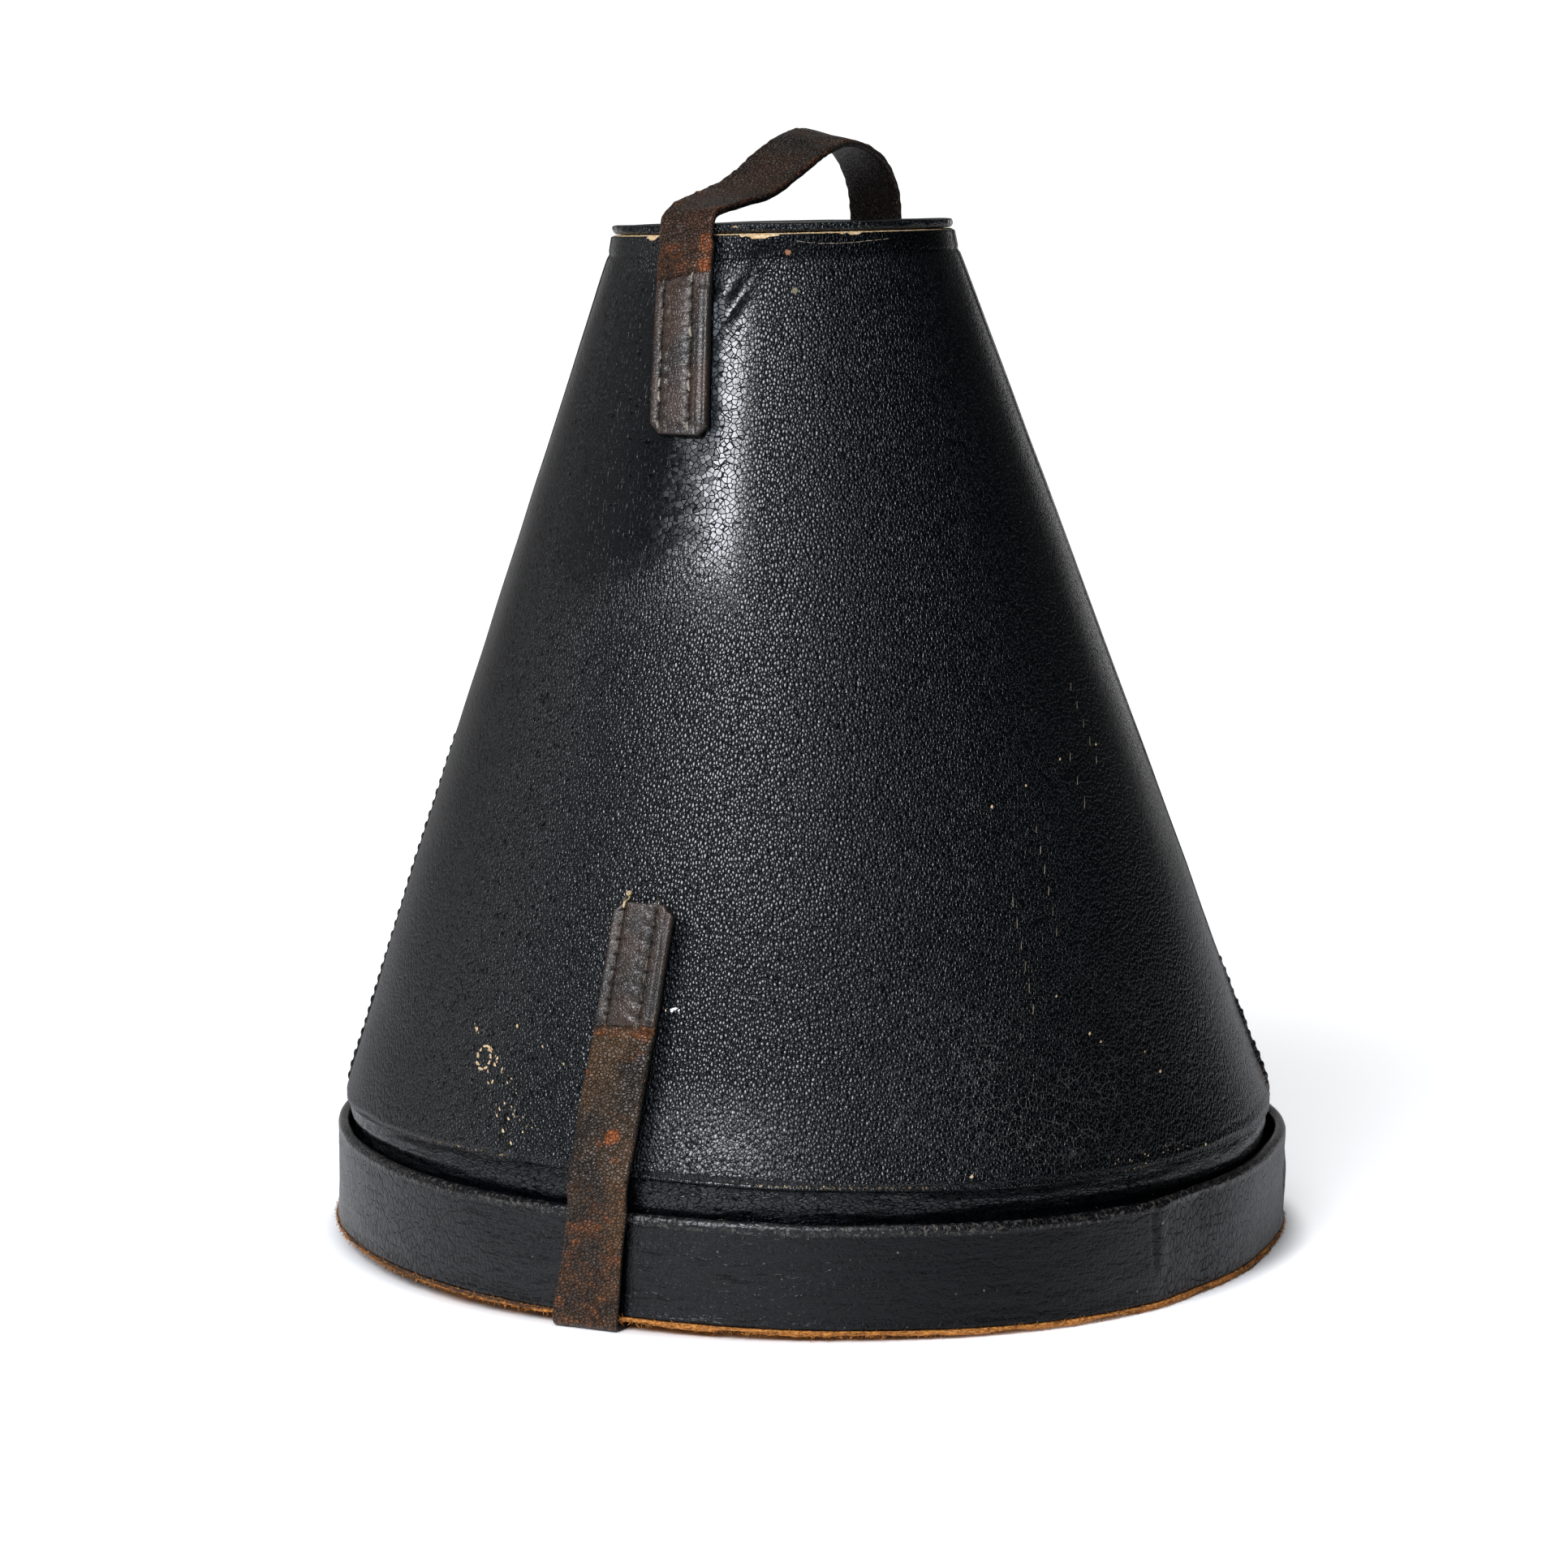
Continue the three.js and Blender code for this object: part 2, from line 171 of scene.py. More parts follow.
rimAround = np.linspace(-180, 180, 721)[:-1, None]
rimTurn = np.radians(rimAround)
baseEdge = ((caseForm["trayRadius"] + caseForm["baseLip"])
            * np.hstack([np.sin(rimTurn), -np.cos(rimTurn), 0 * rimAround]))
baseEdge = settled(swollen(baseEdge))
baseLow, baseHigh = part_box("tray_base")
originShift = np.array((baseLow + baseHigh) / 2) * 1000 - (baseEdge.min(0) + baseEdge.max(0)) / 2
originShift[2] = 0


def inPlace(points):  # upright millimetres to the scene's metres
    return (settled(points) + originShift) / 1000


# Meshes.
def keepValues(mesh, values):  # one number or one vector for every point, read by materials and trees
    for key, rows in values.items():
        kind, field = ("FLOAT_VECTOR", "vector") if rows.ndim == 2 else ("FLOAT", "value")
        layer = mesh.attributes.new(key, kind, "POINT")
        layer.data.foreach_set(field, np.ascontiguousarray(rows, np.float32).ravel())


def outwardMesh(name, points, faces, places=None):
    mesh = bpy.data.meshes.new(name)
    mesh.from_pydata(points.tolist(), [], faces)
    mesh.update()
    triangles = np.array([[f[0], f[k], f[k + 1]] for f in faces for k in range(1, len(f) - 1)])
    middle = points.mean(0)
    a, b, c = (points[triangles[:, k]] - middle for k in range(3))
    if np.einsum("ij,ij->i", a, np.cross(b, c)).sum() < 0:   # the volume comes out negative
        mesh.flip_normals()
    keepValues(mesh, places or {})
    mesh.shade_smooth()
    thing = bpy.data.objects.new(name, mesh)
    scene.collection.objects.link(thing)
    return thing


def gridFaces(rows, cols, wrapRows, wrapCols):
    r = np.arange(rows if wrapRows else rows - 1)
    c = np.arange(cols if wrapCols else cols - 1)
    r, c = np.meshgrid(r, c, indexing="ij")
    r1, c1 = (r + 1) % rows, (c + 1) % cols
    return np.stack([r * cols + c, r * cols + c1, r1 * cols + c1, r1 * cols + c], -1).reshape(-1, 4).tolist()


def ringSolid(name, grid, places):  # a profile that closes on itself, carried round a circle
    rows, cols = grid.shape[:2]
    flat = {key: value.reshape(rows * cols, *value.shape[2:]) for key, value in places.items()}
    return outwardMesh(name, grid.reshape(-1, 3), gridFaces(rows, cols, True, True), flat)


def cappedSolid(name, grid, ends, places, endPlaces):  # closed round its columns, a point at each end
    rows, cols = grid.shape[:2]
    faces = gridFaces(rows, cols, False, True)
    first, last = rows * cols, rows * cols + 1
    for c in range(cols):
        faces.append([first, (c + 1) % cols, c])
        faces.append([last, (rows - 1) * cols + c, (rows - 1) * cols + (c + 1) % cols])
    points = np.vstack([grid.reshape(-1, 3), ends])
    flat = {}
    for key, value in places.items():
        flat[key] = np.concatenate([value.reshape(rows * cols, *value.shape[2:]), endPlaces[key]])
    return outwardMesh(name, points, faces, flat)


def turnedGrid(radii, heights, azimuths):  # rows of a profile by columns round the circle
    radii, heights = np.broadcast_arrays(radii, heights)
    if radii.ndim == 1:
        radii, heights = radii[:, None], heights[:, None]
    turn = np.radians(azimuths)[None, :]
    x, y = radii * np.sin(turn), -radii * np.cos(turn)
    return np.stack([x, y, np.broadcast_to(heights, x.shape)], -1)


# Materials.
middleGrey = (0.5, 0.5, 0.5)   # the middle of a random colour


class Finish:
    def __init__(self, name, metallic=0.0, specular=0.5):
        self.material = bpy.data.materials.new(name)
        self.material.use_nodes = True
        self.tree = self.material.node_tree
        self.tree.nodes.clear()
        self.out = self.tree.nodes.new("ShaderNodeOutputMaterial")
        self.shader = self.tree.nodes.new("ShaderNodeBsdfPrincipled")
        self.shader.inputs["Metallic"].default_value = metallic
        self.shader.inputs["Specular IOR Level"].default_value = specular
        self.tree.links.new(self.shader.outputs["BSDF"], self.out.inputs["Surface"])

    def node(self, kind, **settings):
        made = self.tree.nodes.new("ShaderNode" + kind)
        for key, value in settings.items():
            setattr(made, key, value)
        return made

    def feed(self, socket, value):
        if isinstance(value, bpy.types.NodeSocket):
            self.tree.links.new(value, socket)
        elif value is not None:
            socket.default_value = value

    def place(self, name=None):  # object coordinates, or a place stored on the mesh
        if name is None:
            return self.node("TexCoord").outputs["Object"]
        return self.node("Attribute", attribute_name=name).outputs["Vector"]

    def stored(self, name):
        return self.node("Attribute", attribute_name=name).outputs["Fac"]

    def parts(self, vector):
        made = self.node("SeparateXYZ")
        self.feed(made.inputs[0], vector)
        return made.outputs

    def sum(self, kind, a, b=None, c=None, clamp=False):
        made = self.node("Math", operation=kind, use_clamp=clamp)
        for socket, value in zip(made.inputs, (a, b, c)):
            self.feed(socket, value)
        return made.outputs[0]

    def times(self, a, b, clamp=False):
        return self.sum("MULTIPLY", a, b, None, clamp)

    def timesPlus(self, a, b, c, clamp=False):
        return self.sum("MULTIPLY_ADD", a, b, c, clamp)

    def plus(self, a, b):
        return self.sum("ADD", a, b)

    def minus(self, a, b):
        return self.sum("SUBTRACT", a, b)

    def most(self, a, b):
        return self.sum("MAXIMUM", a, b)

    def least(self, a, b):
        return self.sum("MINIMUM", a, b)

    def size(self, a):
        return self.sum("ABSOLUTE", a)

    def scaled(self, vector, scale, turn=(0, 0, 0)):
        made = self.node("Mapping")
        self.feed(made.inputs["Vector"], vector)
        made.inputs["Scale"].default_value = scale
        made.inputs["Rotation"].default_value = turn
        return made.outputs[0]

    def noise(self, vector, scale, detail=2.0, roughness=0.5):
        made = self.node("TexNoise")
        self.feed(made.inputs["Vector"], vector)
        made.inputs["Scale"].default_value = scale
        made.inputs["Detail"].default_value = detail
        made.inputs["Roughness"].default_value = roughness
        return made.outputs["Fac"]

    def cells(self, vector, scale, feature="F1"):
        made = self.node("TexVoronoi", feature=feature)
        self.feed(made.inputs["Vector"], vector)
        made.inputs["Scale"].default_value = scale
        return made.outputs["Distance"]

    def between(self, value, low, high, to=(0.0, 1.0)):
        made = self.node("MapRange", interpolation_type="SMOOTHSTEP")
        made.clamp = True
        self.feed(made.inputs["Value"], value)
        self.feed(made.inputs["From Min"], low)
        self.feed(made.inputs["From Max"], high)
        self.feed(made.inputs["To Min"], to[0])
        self.feed(made.inputs["To Max"], to[1])
        return made.outputs["Result"]

    def mix(self, share, a, b):
        colour = any(isinstance(v, tuple) or getattr(v, "type", "") == "RGBA" for v in (a, b))
        made = self.node("Mix", data_type="RGBA" if colour else "FLOAT")
        self.feed(made.inputs["Factor"], share)
        first, second, out = (6, 7, 2) if colour else (2, 3, 0)
        self.feed(made.inputs[first], (*a, 1.0) if isinstance(a, tuple) else a)
        self.feed(made.inputs[second], (*b, 1.0) if isinstance(b, tuple) else b)
        return made.outputs[out]

    def specks(self, place, scale, size, cover, zone):  # dots, kept only where broad noise is high
        dots = self.between(self.cells(place, scale, "F1"), *size, (1.0, 0.0))
        return self.times(dots, self.between(self.noise(place, cover), *zone))

    def warped(self, vector, scale, amount):  # the vector pushed about by noise
        made = self.node("TexNoise")
        self.feed(made.inputs["Vector"], vector)
        made.inputs["Scale"].default_value = scale
        centred = self.node("VectorMath", operation="SUBTRACT")
        self.feed(centred.inputs[0], made.outputs["Color"])
        centred.inputs[1].default_value = middleGrey
        push = self.node("VectorMath", operation="MULTIPLY_ADD")
        self.feed(push.inputs[0], centred.outputs[0])
        push.inputs[1].default_value = (amount, amount, amount)
        self.feed(push.inputs[2], vector)
        return push.outputs[0]

    def tipped(self, vector, scale, amount):  # each cell a little sloping plane, height in mm
        made = self.node("TexVoronoi", feature="F1")
        self.feed(made.inputs["Vector"], vector)
        made.inputs["Scale"].default_value = scale
        local = self.node("VectorMath", operation="SUBTRACT")
        self.feed(local.inputs[0], vector)
        self.feed(local.inputs[1], made.outputs["Position"])
        way = self.node("VectorMath", operation="SUBTRACT")
        self.feed(way.inputs[0], made.outputs["Color"])
        way.inputs[1].default_value = middleGrey
        slope = self.node("VectorMath", operation="DOT_PRODUCT")
        self.feed(slope.inputs[0], local.outputs[0])
        self.feed(slope.inputs[1], way.outputs[0])
        return self.times(slope.outputs["Value"], 2000 * amount)

    def apart(self, place, spot):  # distance from one spot
        made = self.node("VectorMath", operation="DISTANCE")
        self.feed(made.inputs[0], place)
        made.inputs[1].default_value = tuple(spot)
        return made.outputs["Value"]

    def nearSpots(self, place, spots):  # how far outside the nearest of several round spots
        nearest = None
        for spot, radius in spots:
            away = self.minus(self.apart(place, spot), radius)
            nearest = away if nearest is None else self.least(nearest, away)
        return nearest

    def relief(self, height, depth, under=None):
        made = self.node("Bump")
        made.inputs["Strength"].default_value = 1.0
        made.inputs["Distance"].default_value = depth
        self.feed(made.inputs["Height"], height)
        self.feed(made.inputs["Normal"], under)
        return made.outputs["Normal"]

    def finish(self, colour, roughness, normal=None, metallic=None):
        if metallic is not None:
            self.feed(self.shader.inputs["Metallic"], metallic)
        self.feed(self.shader.inputs["Base Color"], (*colour, 1.0) if isinstance(colour, tuple) else colour)
        self.feed(self.shader.inputs["Roughness"], roughness)
        if normal is not None:
            self.feed(self.shader.inputs["Normal"], normal)
        return self.material


leatherLook = {
    "black": (0.0014, 0.0023, 0.0032),
    "greyed": (0.0038, 0.0040, 0.0046),
    "cream": (0.55, 0.42, 0.26),
    "dust": (0.085, 0.085, 0.08),
    "plateSize": 0.0018,      # crackled plates and pebbles, metres across
    "pebbleSize": 0.00130,
    "pebbleHeight": 0.15,     # mm
    "grooveDepth": 0.08,
    "plateGroove": (0.01, 0.09),    # groove to top, as shares of a cell
    "pebbleGroove": (0.03, 0.20),
    "pebbleShade": (0.025, 0.11),
    "tilt": 0.05,             # how far single plates tip
    "netSize": 0.0040,        # the wide network of cracks, metres across
    "netRise": 0.04,
    "rolling": 0.12,
    "roughness": (0.165, 0.38, 0.16),   # pebbled, matte, plated
    "grooveRoughness": 0.40,
    "wornRoughness": 0.85,
    "board": (0.42, 0.27, 0.12),    # brown under the worn surface
    "freckles": (0.20, 0.15, 0.09),
}


def crackledLeather(name, zones=(), stretch=(1, 1, 1), marks=None):
    look = leatherLook
    f = Finish(name)
    place = f.place()
    plateZone, networkZone, matteZone, wearZone, dullZone = (
        f.stored(zone) if zone in zones else 0.0 for zone in ("plates", "network", "matte", "wear", "dull"))

    plateScale, pebbleScale = 1 / look["plateSize"], 1 / look["pebbleSize"]
    platePlace = f.warped(place, 330, 0.0008)
    plateEdge = f.cells(platePlace, plateScale, "DISTANCE_TO_EDGE")
    plateTop = f.between(plateEdge, *look["plateGroove"])
    plateHeight = f.timesPlus(plateTop, look["grooveDepth"] * 1.4,
                              f.tipped(platePlace, plateScale, look["tilt"]))
    pebblePlace = f.scaled(f.warped(place, 520, 0.0005), stretch)
    middle = f.cells(pebblePlace, pebbleScale, "F1")
    pebbleEdge = f.cells(pebblePlace, pebbleScale, "DISTANCE_TO_EDGE")
    pebbleTop = f.between(pebbleEdge, *look["pebbleGroove"])
    dome = f.times(f.times(middle, middle), -2.2 * look["pebbleHeight"])
    pebbleHeight = f.timesPlus(pebbleTop, look["grooveDepth"], dome)
    height = f.mix(plateZone, pebbleHeight, plateHeight)
    groove = f.mix(plateZone, f.between(pebbleEdge, *look["pebbleShade"], (1.0, 0.0)),
                   f.between(plateEdge, *look["plateGroove"], (1.0, 0.0)))
    netLine = f.cells(f.warped(place, 150, 0.003), 1 / look["netSize"], "DISTANCE_TO_EDGE")
    netLine = f.times(f.between(netLine, 0.0, 0.05, (1.0, 0.0)), networkZone)
    height = f.timesPlus(netLine, look["netRise"], height)
    height = f.timesPlus(f.noise(place, 120, 2.0, 0.5), look["rolling"], height)
    fine = f.noise(place, 2800, 2.0, 0.6)

    cloud = f.noise(place, 34, 3.0, 0.55)
    patch = f.between(f.timesPlus(cloud, 0.5, matteZone), 0.30, 1.05)
    colour = f.mix(patch, look["black"], look["greyed"])
    # the network's crack lines are coloured paler
    colour = f.mix(f.times(netLine, f.between(f.noise(place, 60), 0.3, 0.65, (0.08, 0.6))),
                   colour, look["dust"])
    specks = f.specks(place, 95, (0.035, 0.075), 31, (0.52, 0.6))
    colour = f.mix(f.times(specks, 0.4), colour, look["dust"])
    ragged = f.noise(place, 900, 3.0, 0.65)
    worn = f.between(f.timesPlus(ragged, 0.6, wearZone), 0.72, 0.86)
    colour = f.mix(worn, colour, f.mix(f.between(ragged, 0.4, 0.6), look["cream"], look["board"]))
    if marks:
        wobble = f.times(f.minus(ragged, 0.5), 0.0022)
        for spots, tint, strength in marks:
            away = f.plus(f.nearSpots(place, spots), wobble)
            shown = f.between(away, 0.0, 0.0002, (strength, 0.0))
            colour = f.mix(shown, colour, tint)
            worn = f.most(worn, shown)
    pebbled, matteRough, plated = look["roughness"]
    roughness = f.mix(plateZone, f.mix(patch, pebbled, matteRough), plated)
    roughness = f.mix(groove, roughness, look["grooveRoughness"])
    shaded = f.most(groove, dullZone)   # grooves are made black metal, a painted shade where nothing glints deep in them; the dull zone darkens the same way
    shaded = f.times(shaded, f.minus(0.92, worn), clamp=True)
    roughness = f.timesPlus(f.minus(fine, 0.5), 0.10, roughness, clamp=True)
    roughness = f.mix(worn, roughness, look["wornRoughness"])
    normal = f.relief(fine, 0.000015, f.relief(height, 0.001))
    return f.finish(colour, roughness, normal, shaded)


# The cone's leather.
coneLook = {
    "columns": 400,
    "seamAzimuths": (-60.5, 119.5),   # the two halves are sewn together at both sides
    "seamWidth": 9.0,
    "seamRise": (0.6, 0.3),
    "crease": {"azimuth": 21, "height": 341, "length": 30, "width": 6.0, "depth": 1.5, "slant": 56},
    "rolling": 0.30,                  # mm of slow unevenness
}

coneMarks = {
    "tanDot": (33.4, 351.2, 0.9),     # azimuth, height, radius
    "oliveDot": (35.0, 338.4, 0.95),
}


def conePoint(azimuth, height, stand=0.0):  # where a spot of the cone's outer face is
    radius = coneRadius(height) + coneRelief(azimuth, height) + stand
    turn = np.radians(azimuth)
    return inPlace(aged(np.stack([radius * np.sin(turn), -radius * np.cos(turn), height], -1)))


def coneMarkList():
    marks = []
    for key, tint, strength in (("tanDot", (0.22, 0.09, 0.04), 0.85), ("oliveDot", (0.15, 0.13, 0.07), 0.8)):
        azimuth, height, radius = coneMarks[key]
        marks.append(([(conePoint(np.float64(azimuth), np.float64(height)), radius / 1000)], tint, strength))
    return marks


def seamAzimuth(side, height):  # the seam wanders a little off its generator
    return coneLook["seamAzimuths"][side] - ease(height, 120, 200) * 2.2


def arcTo(azimuth, other, radius):  # signed mm along the circle between two azimuths
    return np.radians(np.mod(azimuth - other + 180, 360) - 180) * radius


def coneRelief(azimuth, height):
    radius = coneRadius(height)
    lift = coneLook["rolling"] * (0.6 * roundRipple(azimuth, height, 14, 46, 3)
                                  + 0.4 * roundRipple(azimuth, height, 37, 19, 4))
    lift = lift - 0.25
    half = coneLook["seamWidth"] / 2
    for side in (0, 1):
        arc = arcTo(azimuth, seamAzimuth(side, height), radius)
        edge = ease(arc, -half - 1.5, -half) * (1 - ease(arc, half - 0.7, half + 0.1))
        lift = lift + coneLook["seamRise"][side] * edge * (1 - 0.5 * bump(arc, -1.0, 0.9))
        swelling = (bump(arc, half - 1.6, 2.2) * ease(height, 118, 70)
                    * ease(height, footHeight, footHeight + 6))
        lift = lift + (0.4, 1.1)[side] * swelling * (1 + 0.6 * ripple(height / 7, 0 * height, 17 + side))
    c = coneLook["crease"]
    sideways, upwards = arcTo(azimuth, c["azimuth"], radius), height - c["height"]
    along = (sideways * math.cos(rad(c["slant"])) + upwards * math.sin(rad(c["slant"]))) / (c["length"] / 2)
    across = (upwards * math.cos(rad(c["slant"])) - sideways * math.sin(rad(c["slant"]))) / (c["width"] / 2)
    lift = (lift - c["depth"] * np.exp(-along ** 4 - across ** 2)
            + 0.35 * np.exp(-along ** 2 - (across - 1.9) ** 2))
    # Fold under the top.
    lift = lift - 0.40 * bump(height, 350.4 + 0.7 * roundRipple(azimuth, height, 24, 400, 9), 0.8)
    lift = (lift - 0.25 * bump(height, 346.3 + 0.8 * roundRipple(azimuth, height, 33, 400, 10), 0.7)
            * bump(azimuth, 45, 24))
    foot = footHeight + 0.9 + 0.5 * roundRipple(azimuth, height, 50, 400, 8)
    lift = lift - 0.9 * (1 - ease(height, foot, foot + 1.7))
    lines = ease(azimuth, 40, 70)
    footFold = footHeight + 5.5 + 0.8 * roundRipple(azimuth, height, 22, 400, 7)
    lift = lift - 0.22 * bump(height, footFold, 0.7) * lines
    return lift


def coneCover():
    top = topHeight - caseForm["topThickness"] - gap
    columns = np.linspace(-180, 180, coneLook["columns"] + 1)[:-1]
    fine = np.concatenate([s + np.linspace(-4.5, 4.5, 25) for s in coneLook["seamAzimuths"]]
                          + [np.linspace(8, 34, 30)])
    columns = np.unique(np.round(np.concatenate([columns, fine]), 3))
    columns = columns[np.concatenate([[True], np.diff(columns) > 0.12])]
    heights = np.concatenate([np.linspace(footHeight + 0.8, 60, 18), np.linspace(60, 325, 112)[1:],
                              np.linspace(325, top - 0.8, 50)[1:]])
    azimuth, height = np.meshgrid(columns, heights)
    outerRadius = coneRadius(height) + coneRelief(azimuth, height)
    chip = np.clip(roundRipple(azimuth, height, 90, 400, 12)
                   + 0.6 * roundRipple(azimuth, height, 211, 400, 13) - 0.1, 0, 1)
    thick = 0.35 + 0.65 * ease(roundRipple(azimuth, height, 9, 400, 14), -0.3, 0.4)
    chipHeight = (0.1 + 1.5 * chip * thick + 1.0 * bump(azimuth, 24, 5) + 0.9 * bump(azimuth, 56, 3)
                  + 0.9 * bump(azimuth, -16, 6) * chip)
    chipHeight = chipHeight * (1 - 0.9 * ease(azimuth, 64, 70) * (1 - bump(azimuth, 100, 5)))
    torn = ease(height, top - chipHeight - 0.35, top - chipHeight + 0.1)
    outer = turnedGrid(outerRadius - 0.55 * torn, height, columns)
    topR = float(coneRadius(top))
    rimOut = turnedGrid(np.array([topR - 1.2, topR - 2.6]), np.array([top, top]), columns)
    innerHeights = np.array([top, 346, 318, 291, 250, 211, 170, 131, 90, 60, footHeight])
    inner = turnedGrid(coneRadius(innerHeights) - caseForm["wall"], innerHeights, columns)
    footR = float(coneRadius(footHeight))
    footOut = turnedGrid(np.array([footR - 2.0, footR - 1.5, footR - 1.2]),
                         footHeight + np.array([0.0, 0.1, 0.4]), columns)
    grid = np.concatenate([outer, rimOut, inner, footOut])
    count = len(heights)
    arc = np.degrees(arcTo(azimuth, 0, 1.0))
    zones = {key: np.zeros(grid.shape[:2]) for key in ("wear", "plates", "network", "matte", "dull")}
    zones["wear"][:count] = torn
    zones["wear"][count: count + 2] = 1.0
    footWear = (bump(height, footHeight + 1.2, 1.0)
                * (0.22 + 0.24 * ease(roundRipple(azimuth, height, 40, 400, 15), 0.3, 0.8)))
    inSeam = arcTo(azimuth, seamAzimuth(0, height), coneRadius(height))
    seamWear = 0.42 * bump(inSeam, 0, 1.2) * ease(height, 130, 60)
    creamStrip = (0.75 * bump(arcTo(azimuth, seamAzimuth(1, height), coneRadius(height)), -1.0, 0.9)
                  * (1 - ease(height, 58, 64)))
    for wear in (footWear, seamWear, creamStrip):
        zones["wear"][:count] = np.maximum(zones["wear"][:count], wear)
    plates = (ease(height, 215, 262) * (1 - ease(height, 338, 350)) * (1 - ease(arc, 18, 27))
              * ease(arc, -30, -10))
    zones["plates"][:count] = np.maximum(plates, 0.75 * (1 - ease(height, 60, 84)) * bump(arc, 22, 9))
    zones["network"][:count] = (ease(arc, 38, 52) * (1 - ease(arc, 88, 104)) * (1 - ease(height, 78, 125))
                                * ease(height, 50, 54))
    matte = 0.75 * (1 - ease(arc, -16, 6)) * ease(arc, -75, -50) + 0.12 * bump(arc, 88, 16)
    zones["matte"][:count] = matte + 0.35 * ease(arc, 100, 120)
    low = 1 - ease(height, 60, 150)
    dull = 0.62 * ease(arc, 40, 62) * low * (1 - ease(arc, 112, 128))
    dull = dull + 0.30 * (1 - low) * bump(arc, 62, 20)
    dull = dull + 0.30 * low * (1 - ease(arc, -44, -22)) * ease(arc, -78, -62)
    dull = np.maximum(dull, 0.8 * ease(height, 347.0, 350.5) * ease(arc, 10, 24))
    # the dull zone also carries a painted shadow beside the straps
    zones["dull"][:count] = np.clip(dull + paintedStrapShadow(azimuth, height), 0, 1)
    piece = ringSolid("cone_leather", inPlace(aged(grid)), zones)
    piece.data.materials.append(crackledLeather("coneLeather", tuple(zones), (1.25, 1.25, 0.72),
                                                coneMarkList()))
    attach(piece, "root")
    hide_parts("cone_shell")


def paintedStrapShadow(azimuth, height):  # painted shadow along the right of both straps, where nothing shines
    radius = coneRadius(height)
    lower = (arcTo(azimuth, caseForm["closingAzimuth"], radius)
             - np.interp(height, *zip(*closingLook["asides"])))
    lowerDark = ease(lower, 9, 11) * (1 - ease(lower, 13.5, 18)) * (1 - ease(height, 128, 136))
    upper = arcTo(azimuth, 0, radius) - handleLook["slant"] * (349 - height)
    upperDark = ease(upper, 9, 11) * (1 - ease(upper, 12.5, 16)) * ease(height, 284, 292)
    return 0.95 * np.maximum(lowerDark, upperDark)


# The disc on top.
discLook = {"columns": 300, "round": 1.3, "sag": 0.5}


def topDisc():
    columns = np.linspace(-180, 180, discLook["columns"] + 1)[:-1]
    edge, top, bottom = topRadius + 0.3, topHeight, topHeight - caseForm["topThickness"]
    r = discLook["round"]
    profile = [(20, bottom), (50, bottom), (edge - 1.4, bottom), (edge - 0.7, bottom + 0.15),
               (edge - 0.25, bottom + 0.6)]
    profile += [(edge, bottom + 0.6 + k * (top - r - bottom - 0.6) / 4) for k in (1, 2, 3, 4)]
    profile += [(edge - r * (1 - math.cos(a)), top - r * (1 - math.sin(a)))
                for a in np.radians([18, 36, 54, 72, 90])]
    profile += [(radius, top) for radius in (57.5, 56, 54, 50, 45, 40, 34, 28, 21, 14, 7)]
    radii, heights = (np.array(v, float)[:, None] for v in zip(*profile))
    azimuth = np.broadcast_to(columns[None, :], (len(profile), len(columns)))
    side = ease(heights, bottom + 0.2, bottom + 1) * ease(radii, edge - 4, edge - 0.5)
    lift = (0.35 * roundRipple(azimuth, heights, 40, 2.2, 21)
            + 0.25 * roundRipple(azimuth, heights, 130, 1.2, 22) - 0.1)
    lift = lift + 0.5 * roundRipple(azimuth, heights, 60, 3.0, 26) * bump(azimuth, 112, 22)
    radii = radii + lift * side
    upper = ease(heights, top - 0.6, top)
    dished = discLook["sag"] * (1 - (radii / edge) ** 2) + 0.2 * roundRipple(azimuth, radii, 18, 9, 23) + 0.15
    heights = heights - upper * dished
    grid = turnedGrid(radii, heights, columns)
    crack = (ease(roundRipple(azimuth, heights, 70, 1.4, 24), 0.25, 0.7)
             * (1 - ease(heights, bottom + 0.5, bottom + 1.4)) * side)
    chips = ease(roundRipple(azimuth, heights, 44, 1.5, 25), 0.55, 0.8) * bump(heights, top - 0.8, 0.8) * side
    wear = np.clip(np.maximum(0.85 * crack, 0.7 * chips), 0, 1)
    matte = 0.9 * ease(heights, top - 0.9, top - 0.2)
    centre = np.array([[0, 0, bottom], [0, 0, top - discLook["sag"] - 0.15]])
    zones = {"wear": wear, "matte": matte, "dull": 0.5 * matte}
    ends = {"wear": np.zeros(2), "matte": np.array([0, 0.9]), "dull": np.array([0, 0.45])}
    piece = cappedSolid("top_disc_leather", inPlace(aged(grid)), inPlace(aged(centre)), zones, ends)
    piece.data.materials.append(crackledLeather("discLeather", tuple(zones)))
    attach(piece, "root")
    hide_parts("top_disc")


# The collar that drops into the tray.
def wrinkledLeather():  # glossy, with long creases lying round the case
    f = Finish("collarLeather")
    place = f.place()
    creases = f.noise(f.scaled(f.warped(place, 90, 0.004), (1, 1, 5)), 75, 3.0, 0.6)
    cracks = f.cells(f.scaled(f.warped(place, 300, 0.001), (0.7, 0.7, 1.5)), 1 / 0.0015, "DISTANCE_TO_EDGE")
    groove = f.between(cracks, 0.02, 0.12, (1.0, 0.0))
    height = f.timesPlus(groove, -0.05, f.times(creases, 0.55))
    specks = f.specks(place, 260, (0.05, 0.10), 70, (0.55, 0.62))
    colour = f.mix(f.times(specks, 0.5), leatherLook["black"], leatherLook["freckles"])
    roughness = f.between(f.noise(place, 160, 2.0), 0.35, 0.65, (0.18, 0.31))
    normal = f.relief(f.noise(place, 2800, 2.0, 0.6), 0.00002, f.relief(height, 0.001))
    # the cracks' grooves are made black metal, a painted shade
    return f.finish(colour, roughness, normal, f.times(groove, 0.9))


